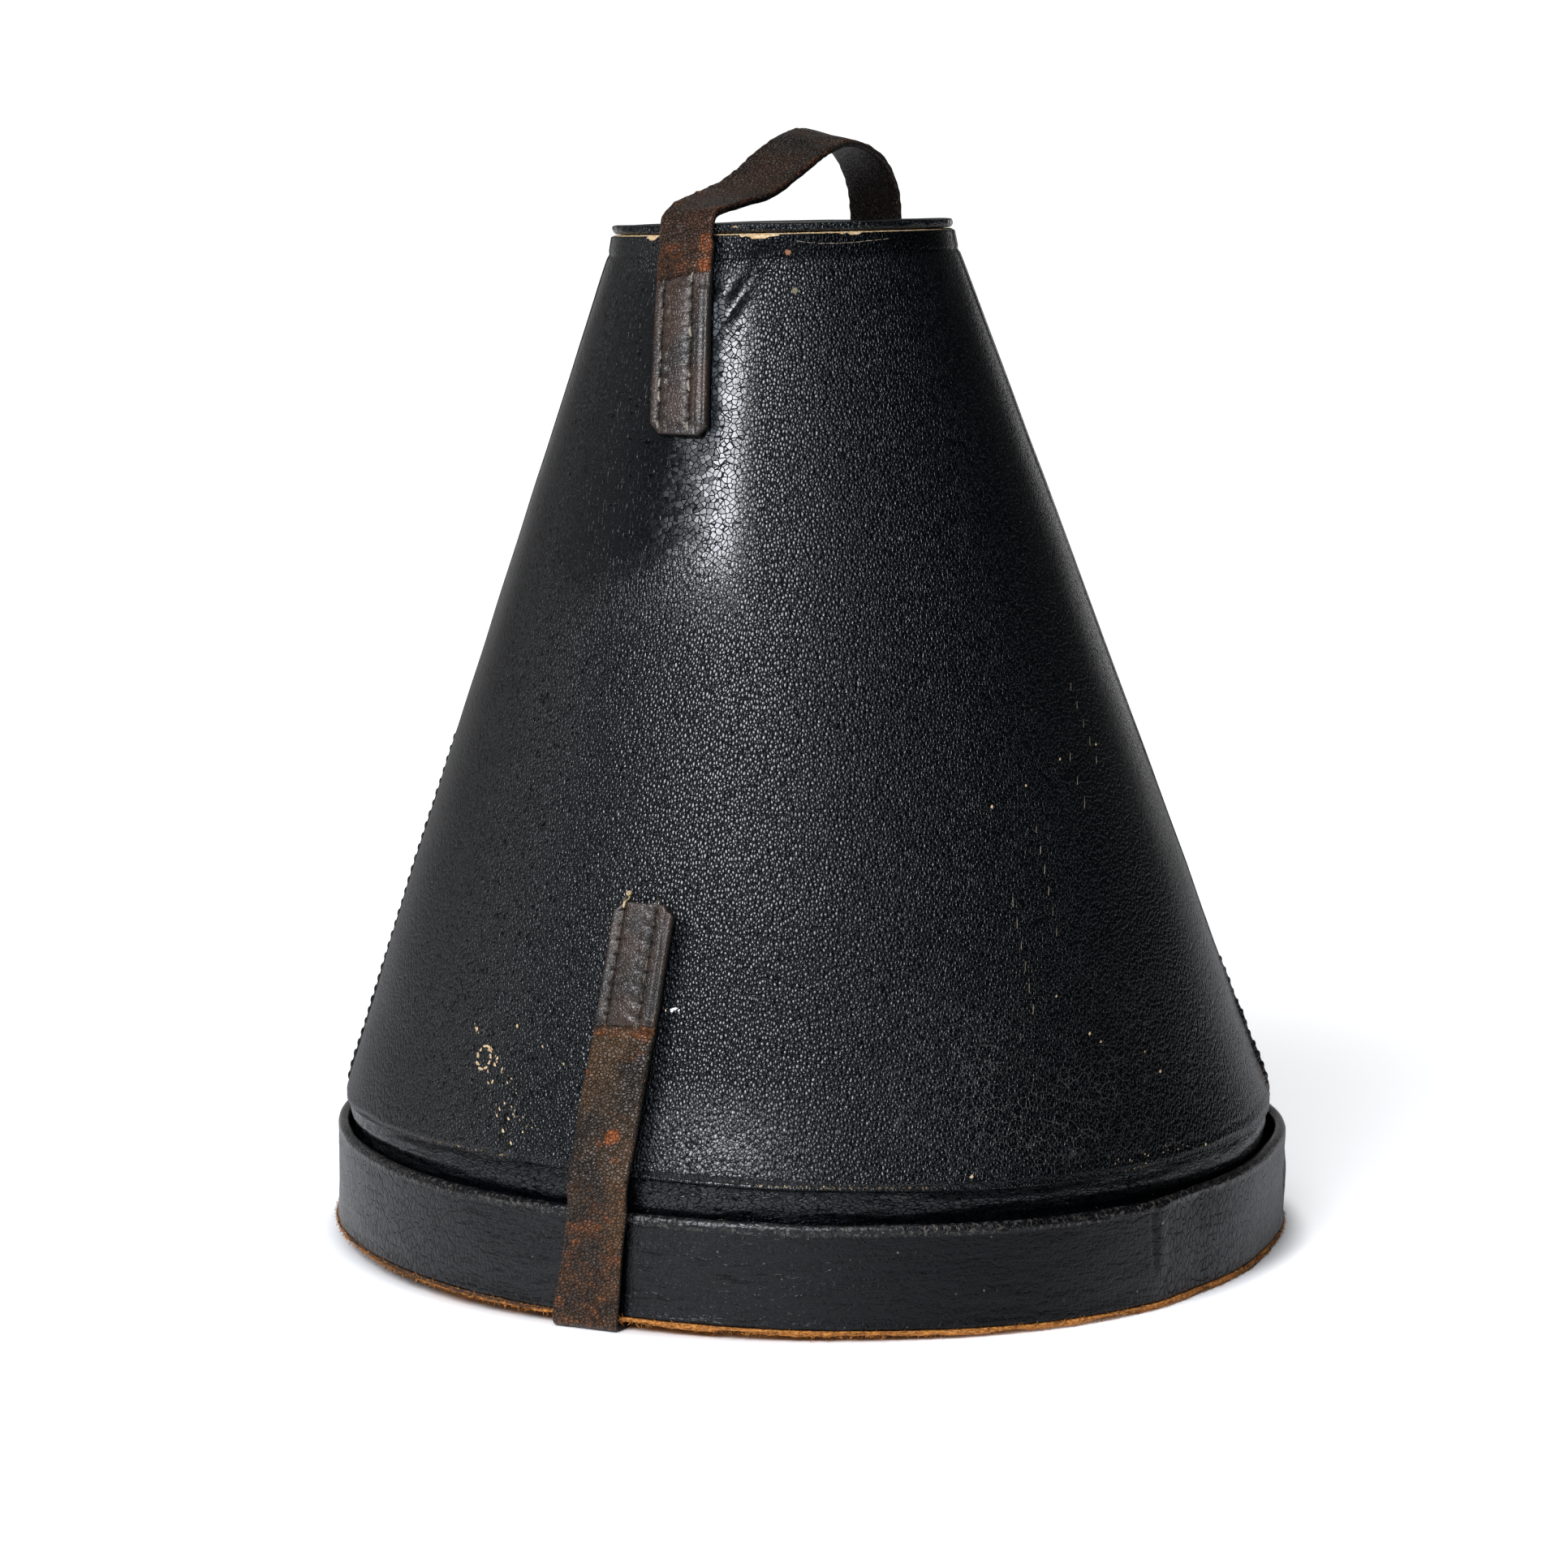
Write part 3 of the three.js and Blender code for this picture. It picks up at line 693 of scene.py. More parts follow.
def collarBand():
    columns = np.linspace(-180, 180, 421)[:-1]
    bottom, tuckTop = caseForm["baseThickness"] + gap, footHeight + caseForm["collarTuck"]
    room = caseForm["wall"] + 2 * gap
    collar = caseForm["collarRadius"]
    knots = [(bottom, collar), (28, collar + 0.2), (40, collar + 0.9),
             (footHeight, float(coneRadius(footHeight)) - room), (tuckTop, float(coneRadius(tuckTop)) - room)]
    knotHeights, knotRadii = zip(*knots)
    heights = np.concatenate([np.linspace(bottom, 28, 6), np.linspace(28, footHeight - 0.3, 34)[1:],
                              [footHeight + 1.5, tuckTop]])
    azimuth, height = np.meshgrid(columns, heights)
    seen = ease(height, 26, 31) * (1 - ease(height, footHeight - 0.6, footHeight + 1))
    bulge = 0.9 * bump(height, 42.5, 3.6) + 0.35 * roundRipple(azimuth, height, 16, 9, 31)
    bulge = (bulge + 0.3 * roundRipple(azimuth, height, 34, 2.6, 32)
             + 0.12 * roundRipple(azimuth, height, 110, 1.6, 33))
    outer = turnedGrid(np.interp(height, knotHeights, knotRadii) + bulge * seen, height, columns)
    inner = turnedGrid(np.interp(heights[::-2], knotHeights, knotRadii) - caseForm["wall"],
                       heights[::-2], columns)
    piece = ringSolid("collar_leather", inPlace(aged(np.concatenate([outer, inner]))), {})
    piece.data.materials.append(wrinkledLeather())
    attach(piece, "root")
    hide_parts("foot_collar")


# The tray.
trayLook = {
    "crackSize": 0.0022,      # metres across
    "lipRoughness": 0.30,
    "columns": 460,
    "kink": 73,
    "fold": 121,
    "black": (0.0018, 0.0019, 0.0030),
    "sides": (0.0042, 0.0044, 0.0054),
    "streaks": (0.0006, 0.0007, 0.0009),
    "dust": (0.12, 0.11, 0.09),
    "roughness": (0.27, 0.34),   # front, sides
    "dull": (0.20, 0.35),        # everywhere, and more on the right of the front
    "chip": (74.3, 29.5),        # azimuth, height of the small white chip
}


def trayLeather():
    f = Finish("trayLeather")
    place = f.place()
    sides, lip, dullZone = f.stored("sides"), f.stored("lip"), f.stored("dull")
    drawn = f.noise(f.scaled(f.warped(place, 60, 0.003), (1, 1, 6)), 110, 4.0, 0.65)
    streak = f.between(drawn, 0.46, 0.70)
    cracks = f.cells(f.scaled(f.warped(place, 240, 0.0018), (1, 1, 0.6)), 1 / trayLook["crackSize"],
                     "DISTANCE_TO_EDGE")
    groove = f.times(f.between(cracks, 0.02, 0.14, (1.0, 0.0)), f.timesPlus(sides, 0.6, 0.4))
    height = f.timesPlus(groove, -0.18, f.times(drawn, f.mix(sides, 0.42, 0.14)))
    height = f.timesPlus(f.noise(place, 130, 2.0, 0.5), 0.18, height)
    height = f.timesPlus(f.noise(place, 620, 2.0, 0.6), f.mix(sides, 0.16, 0.07), height)
    fine = f.noise(place, 2300, 3.0, 0.65)
    colour = f.mix(f.times(streak, f.mix(sides, 0.8, 0.15)),
                   f.mix(sides, trayLook["black"], trayLook["sides"]), trayLook["streaks"])
    dots = f.specks(place, 210, (0.05, 0.10), 45, (0.50, 0.60))
    edgeDots = f.times(f.between(f.noise(place, 700, 3.0, 0.7), 0.52, 0.64), lip)
    shown = f.most(f.times(dots, 0.8), f.times(edgeDots, 0.5))
    chipAzimuth, chipHeight = trayLook["chip"]
    chipPlace = turnedGrid(np.array([caseForm["trayRadius"]]), np.array([chipHeight]),
                           np.array([chipAzimuth]))
    chip = f.between(f.apart(place, inPlace(swollen(chipPlace))[0, 0]), 0.0004, 0.0008, (0.9, 0.0))
    shown = f.most(shown, chip)
    colour = f.mix(shown, colour, trayLook["dust"])
    front, side = trayLook["roughness"]
    roughness = f.mix(sides, front, side)
    roughness = f.timesPlus(f.minus(fine, 0.5), 0.16, roughness, clamp=True)
    roughness = f.mix(lip, roughness, trayLook["lipRoughness"])
    normal = f.relief(fine, 0.00003, f.relief(height, 0.001))
    # crack grooves are made black metal, a painted shade; the dull attribute darkens the same way, with a
    # painted shadow beside the closing strap
    shaded = f.most(f.times(groove, 0.92), dullZone)
    shaded = f.most(shaded, f.times(streak, f.mix(sides, 0.60, 0.15)))
    return f.finish(colour, roughness, normal, f.times(shaded, f.minus(1.0, shown), clamp=True))


def trayWall():
    columns = np.linspace(-180, 180, trayLook["columns"] + 1)[:-1]
    fine = np.concatenate([trayLook["kink"] + np.linspace(-3, 3, 21),
                           trayLook["fold"] + np.linspace(-6, 6, 31)])
    columns = np.unique(np.round(np.concatenate([columns, fine]), 3))
    bottom, top, wall = caseForm["baseThickness"] + gap, caseForm["trayHeight"], caseForm["trayWall"]
    edge = wall / 2
    heights = np.linspace(bottom, top - edge, 34)
    azimuth, height = np.meshgrid(columns, heights)
    arc = arcTo(azimuth, trayLook["kink"], caseForm["trayRadius"])
    lift = (0.3 * roundRipple(azimuth, height, 22, 18, 41) + 0.12 * roundRipple(azimuth, height, 90, 7, 42)
            - 0.25)
    lift = lift + 0.10 * roundRipple(azimuth, height, 60, 3.2, 44)
    lift = lift - 0.7 * bump(arc, 0.8 * np.sin(height / 9), 1.1) * ease(height, 8, 24)
    lift = lift + 0.5 * bump(arc, 4.2, 2.6) * ease(height, 5, 20)
    foldArc = arcTo(azimuth, trayLook["fold"], caseForm["trayRadius"]) - 0.5 * (height - 18)
    lift = (lift + 1.0 * bump(foldArc, 0, 3.2) * bump(height, 18, 9)
            - 0.6 * bump(foldArc, -5.5, 2.0) * bump(height, 19, 8))
    lift = lift + 0.3 * (1 - ease(height, bottom + 0.4, bottom + 3.0))
    outer = turnedGrid(caseForm["trayRadius"] + lift, height, columns)
    turns = np.radians(np.linspace(12, 168, 13))
    lipAzimuth = np.broadcast_to(columns[None, :], (len(turns), len(columns)))
    thick = edge + 0.15 * roundRipple(lipAzimuth, 0 * lipAzimuth, 70, 3, 43) - 0.25 * bump(arc[:1], -1.5, 1.5)
    lip = turnedGrid(caseForm["trayRadius"] - 0.25 - edge + thick * np.cos(turns)[:, None],
                     top - edge + thick * np.sin(turns)[:, None], columns)
    innerHeights = np.array([top - edge, 30, 22, 14, bottom])
    inner = turnedGrid(np.full(5, caseForm["trayRadius"] - wall), innerHeights, columns)
    grid = np.concatenate([outer, lip, inner])
    turn = np.degrees(arcTo(columns, 0, 1.0))
    sides = np.broadcast_to(np.maximum(1 - ease(turn, -34, -4),
                                       ease(turn, trayLook["kink"], trayLook["kink"] + 2)), grid.shape[:2])
    onLip = np.zeros(grid.shape[:2])
    onLip[len(heights) - 2: len(heights) + len(turns)] = 1.0
    beside = arcTo(columns, caseForm["closingAzimuth"], caseForm["trayRadius"]) - closingLook["asides"][1][1]
    dull = trayLook["dull"][0] + trayLook["dull"][1] * bump(turn, 50, 26)
    dull = np.maximum(dull, 0.45 * ease(turn, 70, 78) * (1 - ease(turn, 112, 128)))
    # a painted shadow on the rim beside the closing strap, where nothing shines
    dull = np.maximum(dull, 0.95 * ease(beside, 8, 10.5) * (1 - ease(beside, 12, 17)))
    dull = np.broadcast_to(dull, grid.shape[:2]) * (1 - onLip)
    piece = ringSolid("tray_wall_leather", inPlace(swollen(grid)),
                      {"sides": sides, "lip": onLip, "dull": dull})
    piece.data.materials.append(trayLeather())
    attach(piece, "root")
    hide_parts("tray_rim")


rawLook = {
    "dark": (0.14, 0.045, 0.011),
    "bright": (0.76, 0.31, 0.068),
    "darkened": (0.055, 0.028, 0.015),
    "shades": [(-75, 0.9), (-40, 0.6), (-5, 0.35), (30, 0.0), (60, 0.0), (85, 0.2), (108, 0.45),
               (150, 0.6), (230, 0.7)],
    "fibres": 1900,
    "fibreLength": 0.0019,
    "fibreRadius": 0.00016,
}


def rawLeather():
    f = Finish("rawLeather", 0.0, 0.3)
    place = f.place()
    darkened = f.stored("darkened")
    fibre = f.noise(f.scaled(place, (1, 1, 2)), 750, 4.0, 0.75)
    patch = f.noise(place, 70, 3.0, 0.6)
    colour = f.mix(f.between(fibre, 0.32, 0.66), rawLook["dark"], rawLook["bright"])
    patch = f.timesPlus(f.noise(place, 420, 3.0, 0.65), 0.5, f.times(patch, 0.6))
    # darker where the stored share and random patches are high
    colour = f.mix(f.between(f.plus(patch, f.times(darkened, 0.35)), 0.60, 0.78), colour, rawLook["darkened"])
    return f.finish(colour, 0.9, f.relief(fibre, 0.0009))


def trayFloor(material):
    columns = np.linspace(-180, 180, 721)[:-1]
    edge, thick = caseForm["trayRadius"] + caseForm["baseLip"], caseForm["baseThickness"]
    profile = [(60, 0.15), (120, 0.15), (165, 0.12), (edge - 2.5, 0.05), (edge - 0.7, 0.1),
               (edge - 0.15, 0.55), (edge, 1.1), (edge - 0.05, 1.6), (edge - 0.4, 2.1), (edge - 1.0, thick),
               (165, thick), (60, thick)]
    radii, heights = (np.array(v, float)[:, None] for v in zip(*profile))
    azimuth = np.broadcast_to(columns[None, :], (len(profile), len(columns)))
    side = ease(radii, edge - 2, edge - 0.3)
    radii = radii + side * (0.5 * roundRipple(azimuth, heights, 120, 0.9, 51)
                            + 0.35 * roundRipple(azimuth, heights, 256, 0.5, 52) - 0.1)
    worn = (1.0 * np.clip(roundRipple(azimuth, 0 * heights, 60, 400, 53) - 0.1, 0, 1)
            + 1.5 * bump(azimuth, -62, 44))
    worn = worn + 0.5 * np.clip(roundRipple(azimuth, 0 * heights, 190, 400, 54), 0, 1)
    heights = (heights + ease(radii, edge - 12, edge - 0.5) * (1 - ease(heights, 0.1, 1.8))
               * np.minimum(worn, 1.5))
    # the raw edge is darker round the sides and the back, lightest at azimuths 30 to 60, and darker along its
    # upper part on the left
    darkened = (aroundRows(rawLook["shades"], columns)[None, :]
              + 0.6 * ease(heights, 0.9, 1.6) * (1 - ease(azimuth, -15, 20)))
    grid = turnedGrid(radii, heights, columns)
    centre = np.array([[0, 0, 0.15], [0, 0, thick]])
    piece = cappedSolid("tray_floor_leather", inPlace(swollen(grid)), inPlace(centre), {"darkened": darkened},
                        {"darkened": np.zeros(2)})
    piece.data.materials.append(material)
    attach(piece, "root")
    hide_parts("tray_base")


# Geometry trees.
class Tree:
    def __init__(self, name, inputs):  # inputs: name, socket kind, default
        self.tree = bpy.data.node_groups.new(name, "GeometryNodeTree")
        self.tree.interface.new_socket("Geometry", in_out="INPUT", socket_type="NodeSocketGeometry")
        for key, kind, value in inputs:
            socket = self.tree.interface.new_socket(key, in_out="INPUT", socket_type="NodeSocket" + kind)
            if value is not None:
                socket.default_value = value
        self.tree.interface.new_socket("Geometry", in_out="OUTPUT", socket_type="NodeSocketGeometry")
        self.given = self.tree.nodes.new("NodeGroupInput").outputs
        self.result = self.tree.nodes.new("NodeGroupOutput").inputs[0]

    def node(self, kind, values=None, **settings):
        made = self.tree.nodes.new(kind)
        for key, value in settings.items():
            setattr(made, key, value)
        for key, value in (values or {}).items():
            socket = made.inputs[key]
            if isinstance(value, bpy.types.NodeSocket):
                self.tree.links.new(value, socket)
            else:
                socket.default_value = value
        return made.outputs

    def math(self, kind, a, b):
        return self.node("ShaderNodeMath", {0: a, 1: b}, operation=kind)[0]

    def vector(self, x, y, z):
        return self.node("ShaderNodeCombineXYZ", {0: x, 1: y, 2: z})[0]

    def stored(self, name):
        return self.node("GeometryNodeInputNamedAttribute", {"Name": name}, data_type="FLOAT_VECTOR")[0]

    def between(self, low, high, seed):
        made = self.node("FunctionNodeRandomValue", {2: low, 3: high, "Seed": seed}, data_type="FLOAT")
        return made[1]

    def end(self, instances, material):
        real = self.node("GeometryNodeRealizeInstances", {0: instances})[0]
        smooth = self.node("GeometryNodeSetShadeSmooth", {0: real})[0]
        painted = self.node("GeometryNodeSetMaterial", {"Geometry": smooth, "Material": material})[0]
        self.tree.links.new(painted, self.result)
        return self.tree


# Open lines of points, each with the way out of the surface.
def lineMesh(name, lines, outwards, linked=True, more=None):
    points, edges = [], []
    for line in lines:
        first = len(points)
        points += line.tolist()
        edges += [(first + k, first + k + 1) for k in range(len(line) - 1) if linked]
    mesh = bpy.data.meshes.new(name)
    mesh.from_pydata(points, edges, [])
    keepValues(mesh, {"outwards": np.vstack(outwards), **(more or {})})
    return mesh


def made(name, source, tree, values):  # runs a geometry tree once and keeps plain mesh
    carrier = bpy.data.objects.new(name + "_carrier", source)
    scene.collection.objects.link(carrier)
    modifier = carrier.modifiers.new(name, "NODES")
    modifier.node_group = tree
    for item in tree.interface.items_tree:
        if item.item_type == "SOCKET" and item.in_out == "INPUT" and item.name in values:
            modifier[item.identifier] = values[item.name]
    carrier.update_tag()
    seen = carrier.evaluated_get(bpy.context.evaluated_depsgraph_get())
    mesh = bpy.data.meshes.new_from_object(seen)
    carrier.modifiers.remove(modifier)
    bpy.data.objects.remove(carrier)
    bpy.data.meshes.remove(source)
    piece = bpy.data.objects.new(name, mesh)
    scene.collection.objects.link(piece)
    return piece


def stitchTree():
    t = Tree("stitching", [("Pitch", "Float", 0.005), ("Thread", "Float", 0.0004), ("Bow", "Float", 0.0006),
                           ("Seed", "Int", 3), ("Material", "Material", None)])
    pitch, thread, bow, seed = (t.given[key] for key in ("Pitch", "Thread", "Bow", "Seed"))
    run = t.node("GeometryNodeMeshToCurve", {"Mesh": t.given["Geometry"]})[0]
    run = t.node("GeometryNodeResampleCurve", {"Curve": run, "Length": pitch}, mode="LENGTH")[0]
    half = t.math("MULTIPLY", pitch, 0.39)
    low = t.math("MULTIPLY", bow, -1.1)
    arch = t.node("GeometryNodeCurvePrimitiveBezierSegment", {
        "Resolution": 6,
        "Start": t.vector(t.math("MULTIPLY", half, -1), 0.0, low), "End": t.vector(half, 0.0, low),
        "Start Handle": t.vector(t.math("MULTIPLY", half, -0.7), 0.0, bow),
        "End Handle": t.vector(t.math("MULTIPLY", half, 0.7), 0.0, bow)})[0]
    ring = t.node("GeometryNodeCurvePrimitiveCircle", {"Resolution": 6, "Radius": thread})[0]
    tube = t.node("GeometryNodeCurveToMesh", {"Curve": arch, "Profile Curve": ring, "Fill Caps": True})[0]
    turn = t.node("FunctionNodeAxesToRotation",
                  {0: t.stored("outwards"), 1: t.node("GeometryNodeInputTangent")[0]},
                  primary_axis="Z", secondary_axis="X")[0]
    skew = t.node("FunctionNodeEulerToRotation", {0: t.vector(0.0, 0.0, t.between(-0.14, 0.14, seed))})[0]
    turn = t.node("FunctionNodeRotateRotation", {0: turn, 1: skew}, rotation_space="LOCAL")[0]
    size = t.vector(t.between(0.9, 1.06, seed), t.between(0.85, 1.2, seed), t.between(0.8, 1.15, seed))
    sewn = t.node("GeometryNodeInstanceOnPoints",
                  {"Points": run, "Instance": tube, "Rotation": turn, "Scale": size})[0]
    return t.end(sewn, t.given["Material"])


def fibreTree():
    t = Tree("fraying", [("Count", "Int", 1000), ("Length", "Float", 0.0015), ("Radius", "Float", 0.0001),
                         ("Seed", "Int", 5), ("Material", "Material", None)])
    seed = t.given["Seed"]
    run = t.node("GeometryNodeMeshToCurve", {"Mesh": t.given["Geometry"]})[0]
    run = t.node("GeometryNodeResampleCurve", {"Curve": run, "Count": t.given["Count"]}, mode="COUNT")[0]
    spots = t.node("GeometryNodeCurveToPoints", {"Curve": run}, mode="EVALUATED")[0]
    spots = t.node("GeometryNodeSetPosition",
                   {"Geometry": spots, "Offset": t.vector(0.0, 0.0, t.between(0.0, 0.0018, seed))})[0]
    line = t.node("GeometryNodeCurvePrimitiveBezierSegment", {
        "Resolution": 3, "Start": (0.0, 0.0, -0.0003),
        "End": t.vector(t.math("MULTIPLY", t.given["Length"], 0.3), 0.0, t.given["Length"]),
        "Start Handle": (0.0, 0.0, 0.0003),
        "End Handle": t.vector(0.0, 0.0, t.math("MULTIPLY", t.given["Length"], 0.8))})[0]
    taper = t.math("SUBTRACT", 1.0, t.math("MULTIPLY", t.node("GeometryNodeSplineParameter")[0], 0.8))
    ring = t.node("GeometryNodeCurvePrimitiveCircle", {"Resolution": 3, "Radius": t.given["Radius"]})[0]
    hair = t.node("GeometryNodeCurveToMesh",
                  {"Curve": line, "Profile Curve": ring, "Scale": taper, "Fill Caps": True})[0]
    turn = t.node("FunctionNodeAxesToRotation", {0: t.stored("outwards"), 1: (0.0, 0.0, -1.0)},
                  primary_axis="Z", secondary_axis="X")[0]
    stray = t.node("FunctionNodeEulerToRotation",
                   {0: t.vector(t.between(-1.2, 1.2, seed), t.between(-0.3, 1.3, 8),
                                t.between(-3.1, 3.1, 9))})[0]
    turn = t.node("FunctionNodeRotateRotation", {0: turn, 1: stray}, rotation_space="LOCAL")[0]
    size = t.between(0.35, 1.1, 11)
    grown = t.node("GeometryNodeInstanceOnPoints", {"Points": spots, "Instance": hair, "Rotation": turn,
                                                    "Scale": t.vector(1.0, 1.0, size)})[0]
    return t.end(grown, t.given["Material"])


def fleckTree():  # small scabs lying flat, stretched along their own way
    t = Tree("flecks", [("Ragged", "Float", 0.35), ("Material", "Material", None)])
    spots = t.node("GeometryNodeMeshToPoints", {"Mesh": t.given["Geometry"]})[0]
    scab = t.node("GeometryNodeMeshIcoSphere", {"Radius": 1.0, "Subdivisions": 2})[0]
    turn = t.node("FunctionNodeAxesToRotation", {0: t.stored("outwards"), 1: t.stored("along")},
                  primary_axis="Z", secondary_axis="X")[0]
    laid = t.node("GeometryNodeInstanceOnPoints",
                  {"Points": spots, "Instance": scab, "Rotation": turn, "Scale": t.stored("size")})[0]
    real = t.node("GeometryNodeRealizeInstances", {0: laid})[0]
    push = t.node("ShaderNodeTexNoise",
                  {"Vector": t.node("GeometryNodeInputPosition")[0], "Scale": 900.0, "Detail": 2.0})[1]
    push = t.node("ShaderNodeVectorMath", {0: push, 1: (-0.5, -0.5, -0.5)}, operation="ADD")[0]
    push = t.node("ShaderNodeVectorMath", {0: push, 3: t.math("MULTIPLY", t.given["Ragged"], 0.001)},
                  operation="SCALE")[0]
    torn = t.node("GeometryNodeSetPosition", {"Geometry": real, "Offset": push})[0]
    painted = t.node("GeometryNodeSetMaterial", {"Geometry": torn, "Material": t.given["Material"]})[0]
    t.tree.links.new(painted, t.result)
    return t.tree


def frayedEdge(material):
    azimuths = np.linspace(-78, 142, 700)
    edge = caseForm["trayRadius"] + caseForm["baseLip"] - 0.35
    line = inPlace(swollen(turnedGrid(np.array([edge]), np.array([0.35]), azimuths)))[0]
    turn = np.radians(azimuths)
    outwards = np.stack([np.sin(turn), -np.cos(turn), -0.25 + 0 * turn], -1)
    values = {"Count": rawLook["fibres"], "Length": rawLook["fibreLength"], "Radius": rawLook["fibreRadius"],
              "Material": material}
    piece = made("frayed_edge", lineMesh("frayed_edge_line", [line], [outwards]), fibreTree(), values)
    for vertex in piece.data.vertices:   # fibres bend up where they meet the floor
        vertex.co.z = max(vertex.co.z, 0.0001)
    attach(piece, "root")


# Straps.
strapLook = {"step": 1.0, "across": 44, "edgeRadius": 1.0, "clip": 3.5}


def strapRow(reach, height, roll=0.0, curl=0.0, aside=0.0):
    return (reach, height, roll, curl, aside)


def onCone(height, side, standOff=0.0, aside=0.0):  # a strap's middle line lying on the cone
    slope = float(coneRadius(height - 1) - coneRadius(height + 1)) / 2
    away = gap + caseForm["strapThickness"] / 2 + standOff
    length = math.hypot(1, slope)
    radius = float(coneRadius(height))
    return strapRow(side * (radius + away / length), height + away * slope / length, 0.0, 1 / radius, aside)


def smoothPath(rows, step):  # rows resampled evenly along a curve through them
    rows = np.array(rows, float)
    dense = []
    padded = np.vstack([2 * rows[0] - rows[1], rows, 2 * rows[-1] - rows[-2]])
    for i in range(1, len(padded) - 2):
        p0, p1, p2, p3 = padded[i - 1: i + 3]
        d = [max(np.linalg.norm(b[:2] - a[:2]), 1e-6) ** 0.5 for a, b in ((p0, p1), (p1, p2), (p2, p3))]
        m1 = (p1 - p0) / d[0] - (p2 - p0) / (d[0] + d[1]) + (p2 - p1) / d[1]
        m2 = (p2 - p1) / d[1] - (p3 - p1) / (d[1] + d[2]) + (p3 - p2) / d[2]
        m1, m2 = m1 * d[1], m2 * d[1]
        t = np.linspace(0, 1, 24, endpoint=False)[:, None]
        curve = (2 * t ** 3 - 3 * t ** 2 + 1) * p1 + (t ** 3 - 2 * t ** 2 + t) * m1
        dense.append(curve + (3 * t ** 2 - 2 * t ** 3) * p2 + (t ** 3 - t ** 2) * m2)
    dense = np.vstack(dense + [rows[-1:]])
    run = np.concatenate([[0], np.cumsum(np.hypot(*np.diff(dense[:, :2], axis=0).T))])
    count = int(round(run[-1] / step)) + 1
    length = np.linspace(0, run[-1], count)
    return length, np.stack([np.interp(length, run, dense[:, k]) for k in range(5)], -1)


class StrapLine:  # a strap's middle line and the directions across and out of it
    def __init__(self, rows, azimuth, step):
        self.length, self.rows = smoothPath(rows, step)
        self.out = towardsAzimuth(azimuth)
        self.across = np.array([math.cos(rad(azimuth)), math.sin(rad(azimuth)), 0.0])
        run = np.gradient(self.rows[:, :2], self.length, axis=0)
        run /= np.linalg.norm(run, axis=1)[:, None]
        up = np.array([0, 0, 1.0])
        normal = -run[:, 1:2] * self.out + run[:, 0:1] * up
        turn = np.radians(self.rows[:, 2:3])
        self.side = self.across * np.cos(turn) + normal * np.sin(turn)
        self.normal = normal * np.cos(turn) - self.across * np.sin(turn)

    def points(self, along, across, height):  # mm along, from the middle, over the middle line
        along, across, height = np.broadcast_arrays(*(np.asarray(v, float) for v in (along, across, height)))
        row = np.stack([np.interp(along, self.length, self.rows[:, k]) for k in range(5)], -1)
        side = np.stack([np.interp(along, self.length, self.side[:, k]) for k in range(3)], -1)
        normal = np.stack([np.interp(along, self.length, self.normal[:, k]) for k in range(3)], -1)
        aside = row[..., 4]
        drop = (across + aside) ** 2 / 2 * row[..., 3]
        middle = (row[..., 0:1] * self.out + row[..., 1:2] * np.array([0, 0, 1.0])
                  + aside[..., None] * self.across)
        return middle + across[..., None] * side + (height - drop)[..., None] * normal

    def alongAt(self, height, front):  # mm along to a height, on the first part of the line down to its lowest point; otherwise only the line's start
        count = int(np.argmin(self.rows[:, 1])) if front else 0
        rows, length = (self.rows[:count + 1], self.length[:count + 1])
        return float(np.interp(-height, -rows[:, 1], length))


# Relief gives mm of lift and how dark the painted shade in a pit is.
def strapMesh(name, line, along, material, relief, halfWidth, press=False):
    thick = caseForm["strapThickness"]
    r = strapLook["edgeRadius"]
    top = np.linspace(-1, 1, strapLook["across"])
    under = np.linspace(1, -1, 10)
    bend = np.radians(np.linspace(0, 180, 9))[1:-1]
    section = [(t, 1.0, 0.0) for t in top] + [(1.0, math.cos(b), math.sin(b)) for b in bend]
    section += [(t, -1.0, 0.0) for t in under] + [(-1.0, -math.cos(b), math.sin(b)) for b in bend]
    share, face, outward = (np.array(v) for v in zip(*section))
    half = halfWidth(along) - r
    s, t = np.meshgrid(along, share, indexing="ij")
    across = t * half[:, None] + np.sign(t) * outward[None, :] * r
    lift, pitShade = relief(s, across)
    upper = ease(face[None, :], -0.2, 1.0)
    height = thick / 2 * np.broadcast_to(face[None, :], s.shape) + lift * upper
    points = line.points(s, across, height)
    ends = line.points(np.array([along[0], along[-1]]), 0.0, 0.0)
    if press:
        points[..., 2] = np.maximum(points[..., 2], floorUnder(points) + 0.02)
    place = np.stack([s, across, thick / 2 * np.broadcast_to(face[None, :], s.shape)], -1) / 1000
    endPlace = np.array([[along[0], 0, 0], [along[-1], 0, 0]]) / 1000
    values = {"strapPlace": place, "pitShade": np.clip(pitShade * upper, 0, 1)}
    piece = cappedSolid(name, inPlace(aged(points)), inPlace(aged(ends)), values,
                        {"strapPlace": endPlace, "pitShade": np.zeros(2)})
    piece.data.materials.append(material)
    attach(piece, "root")
    return piece


def stretches(*parts):  # lengths along a strap, each part with its own step
    return np.unique(np.concatenate([np.linspace(a, b, int(math.ceil((b - a) / step)) + 1)
                                     for a, b, step in parts]))


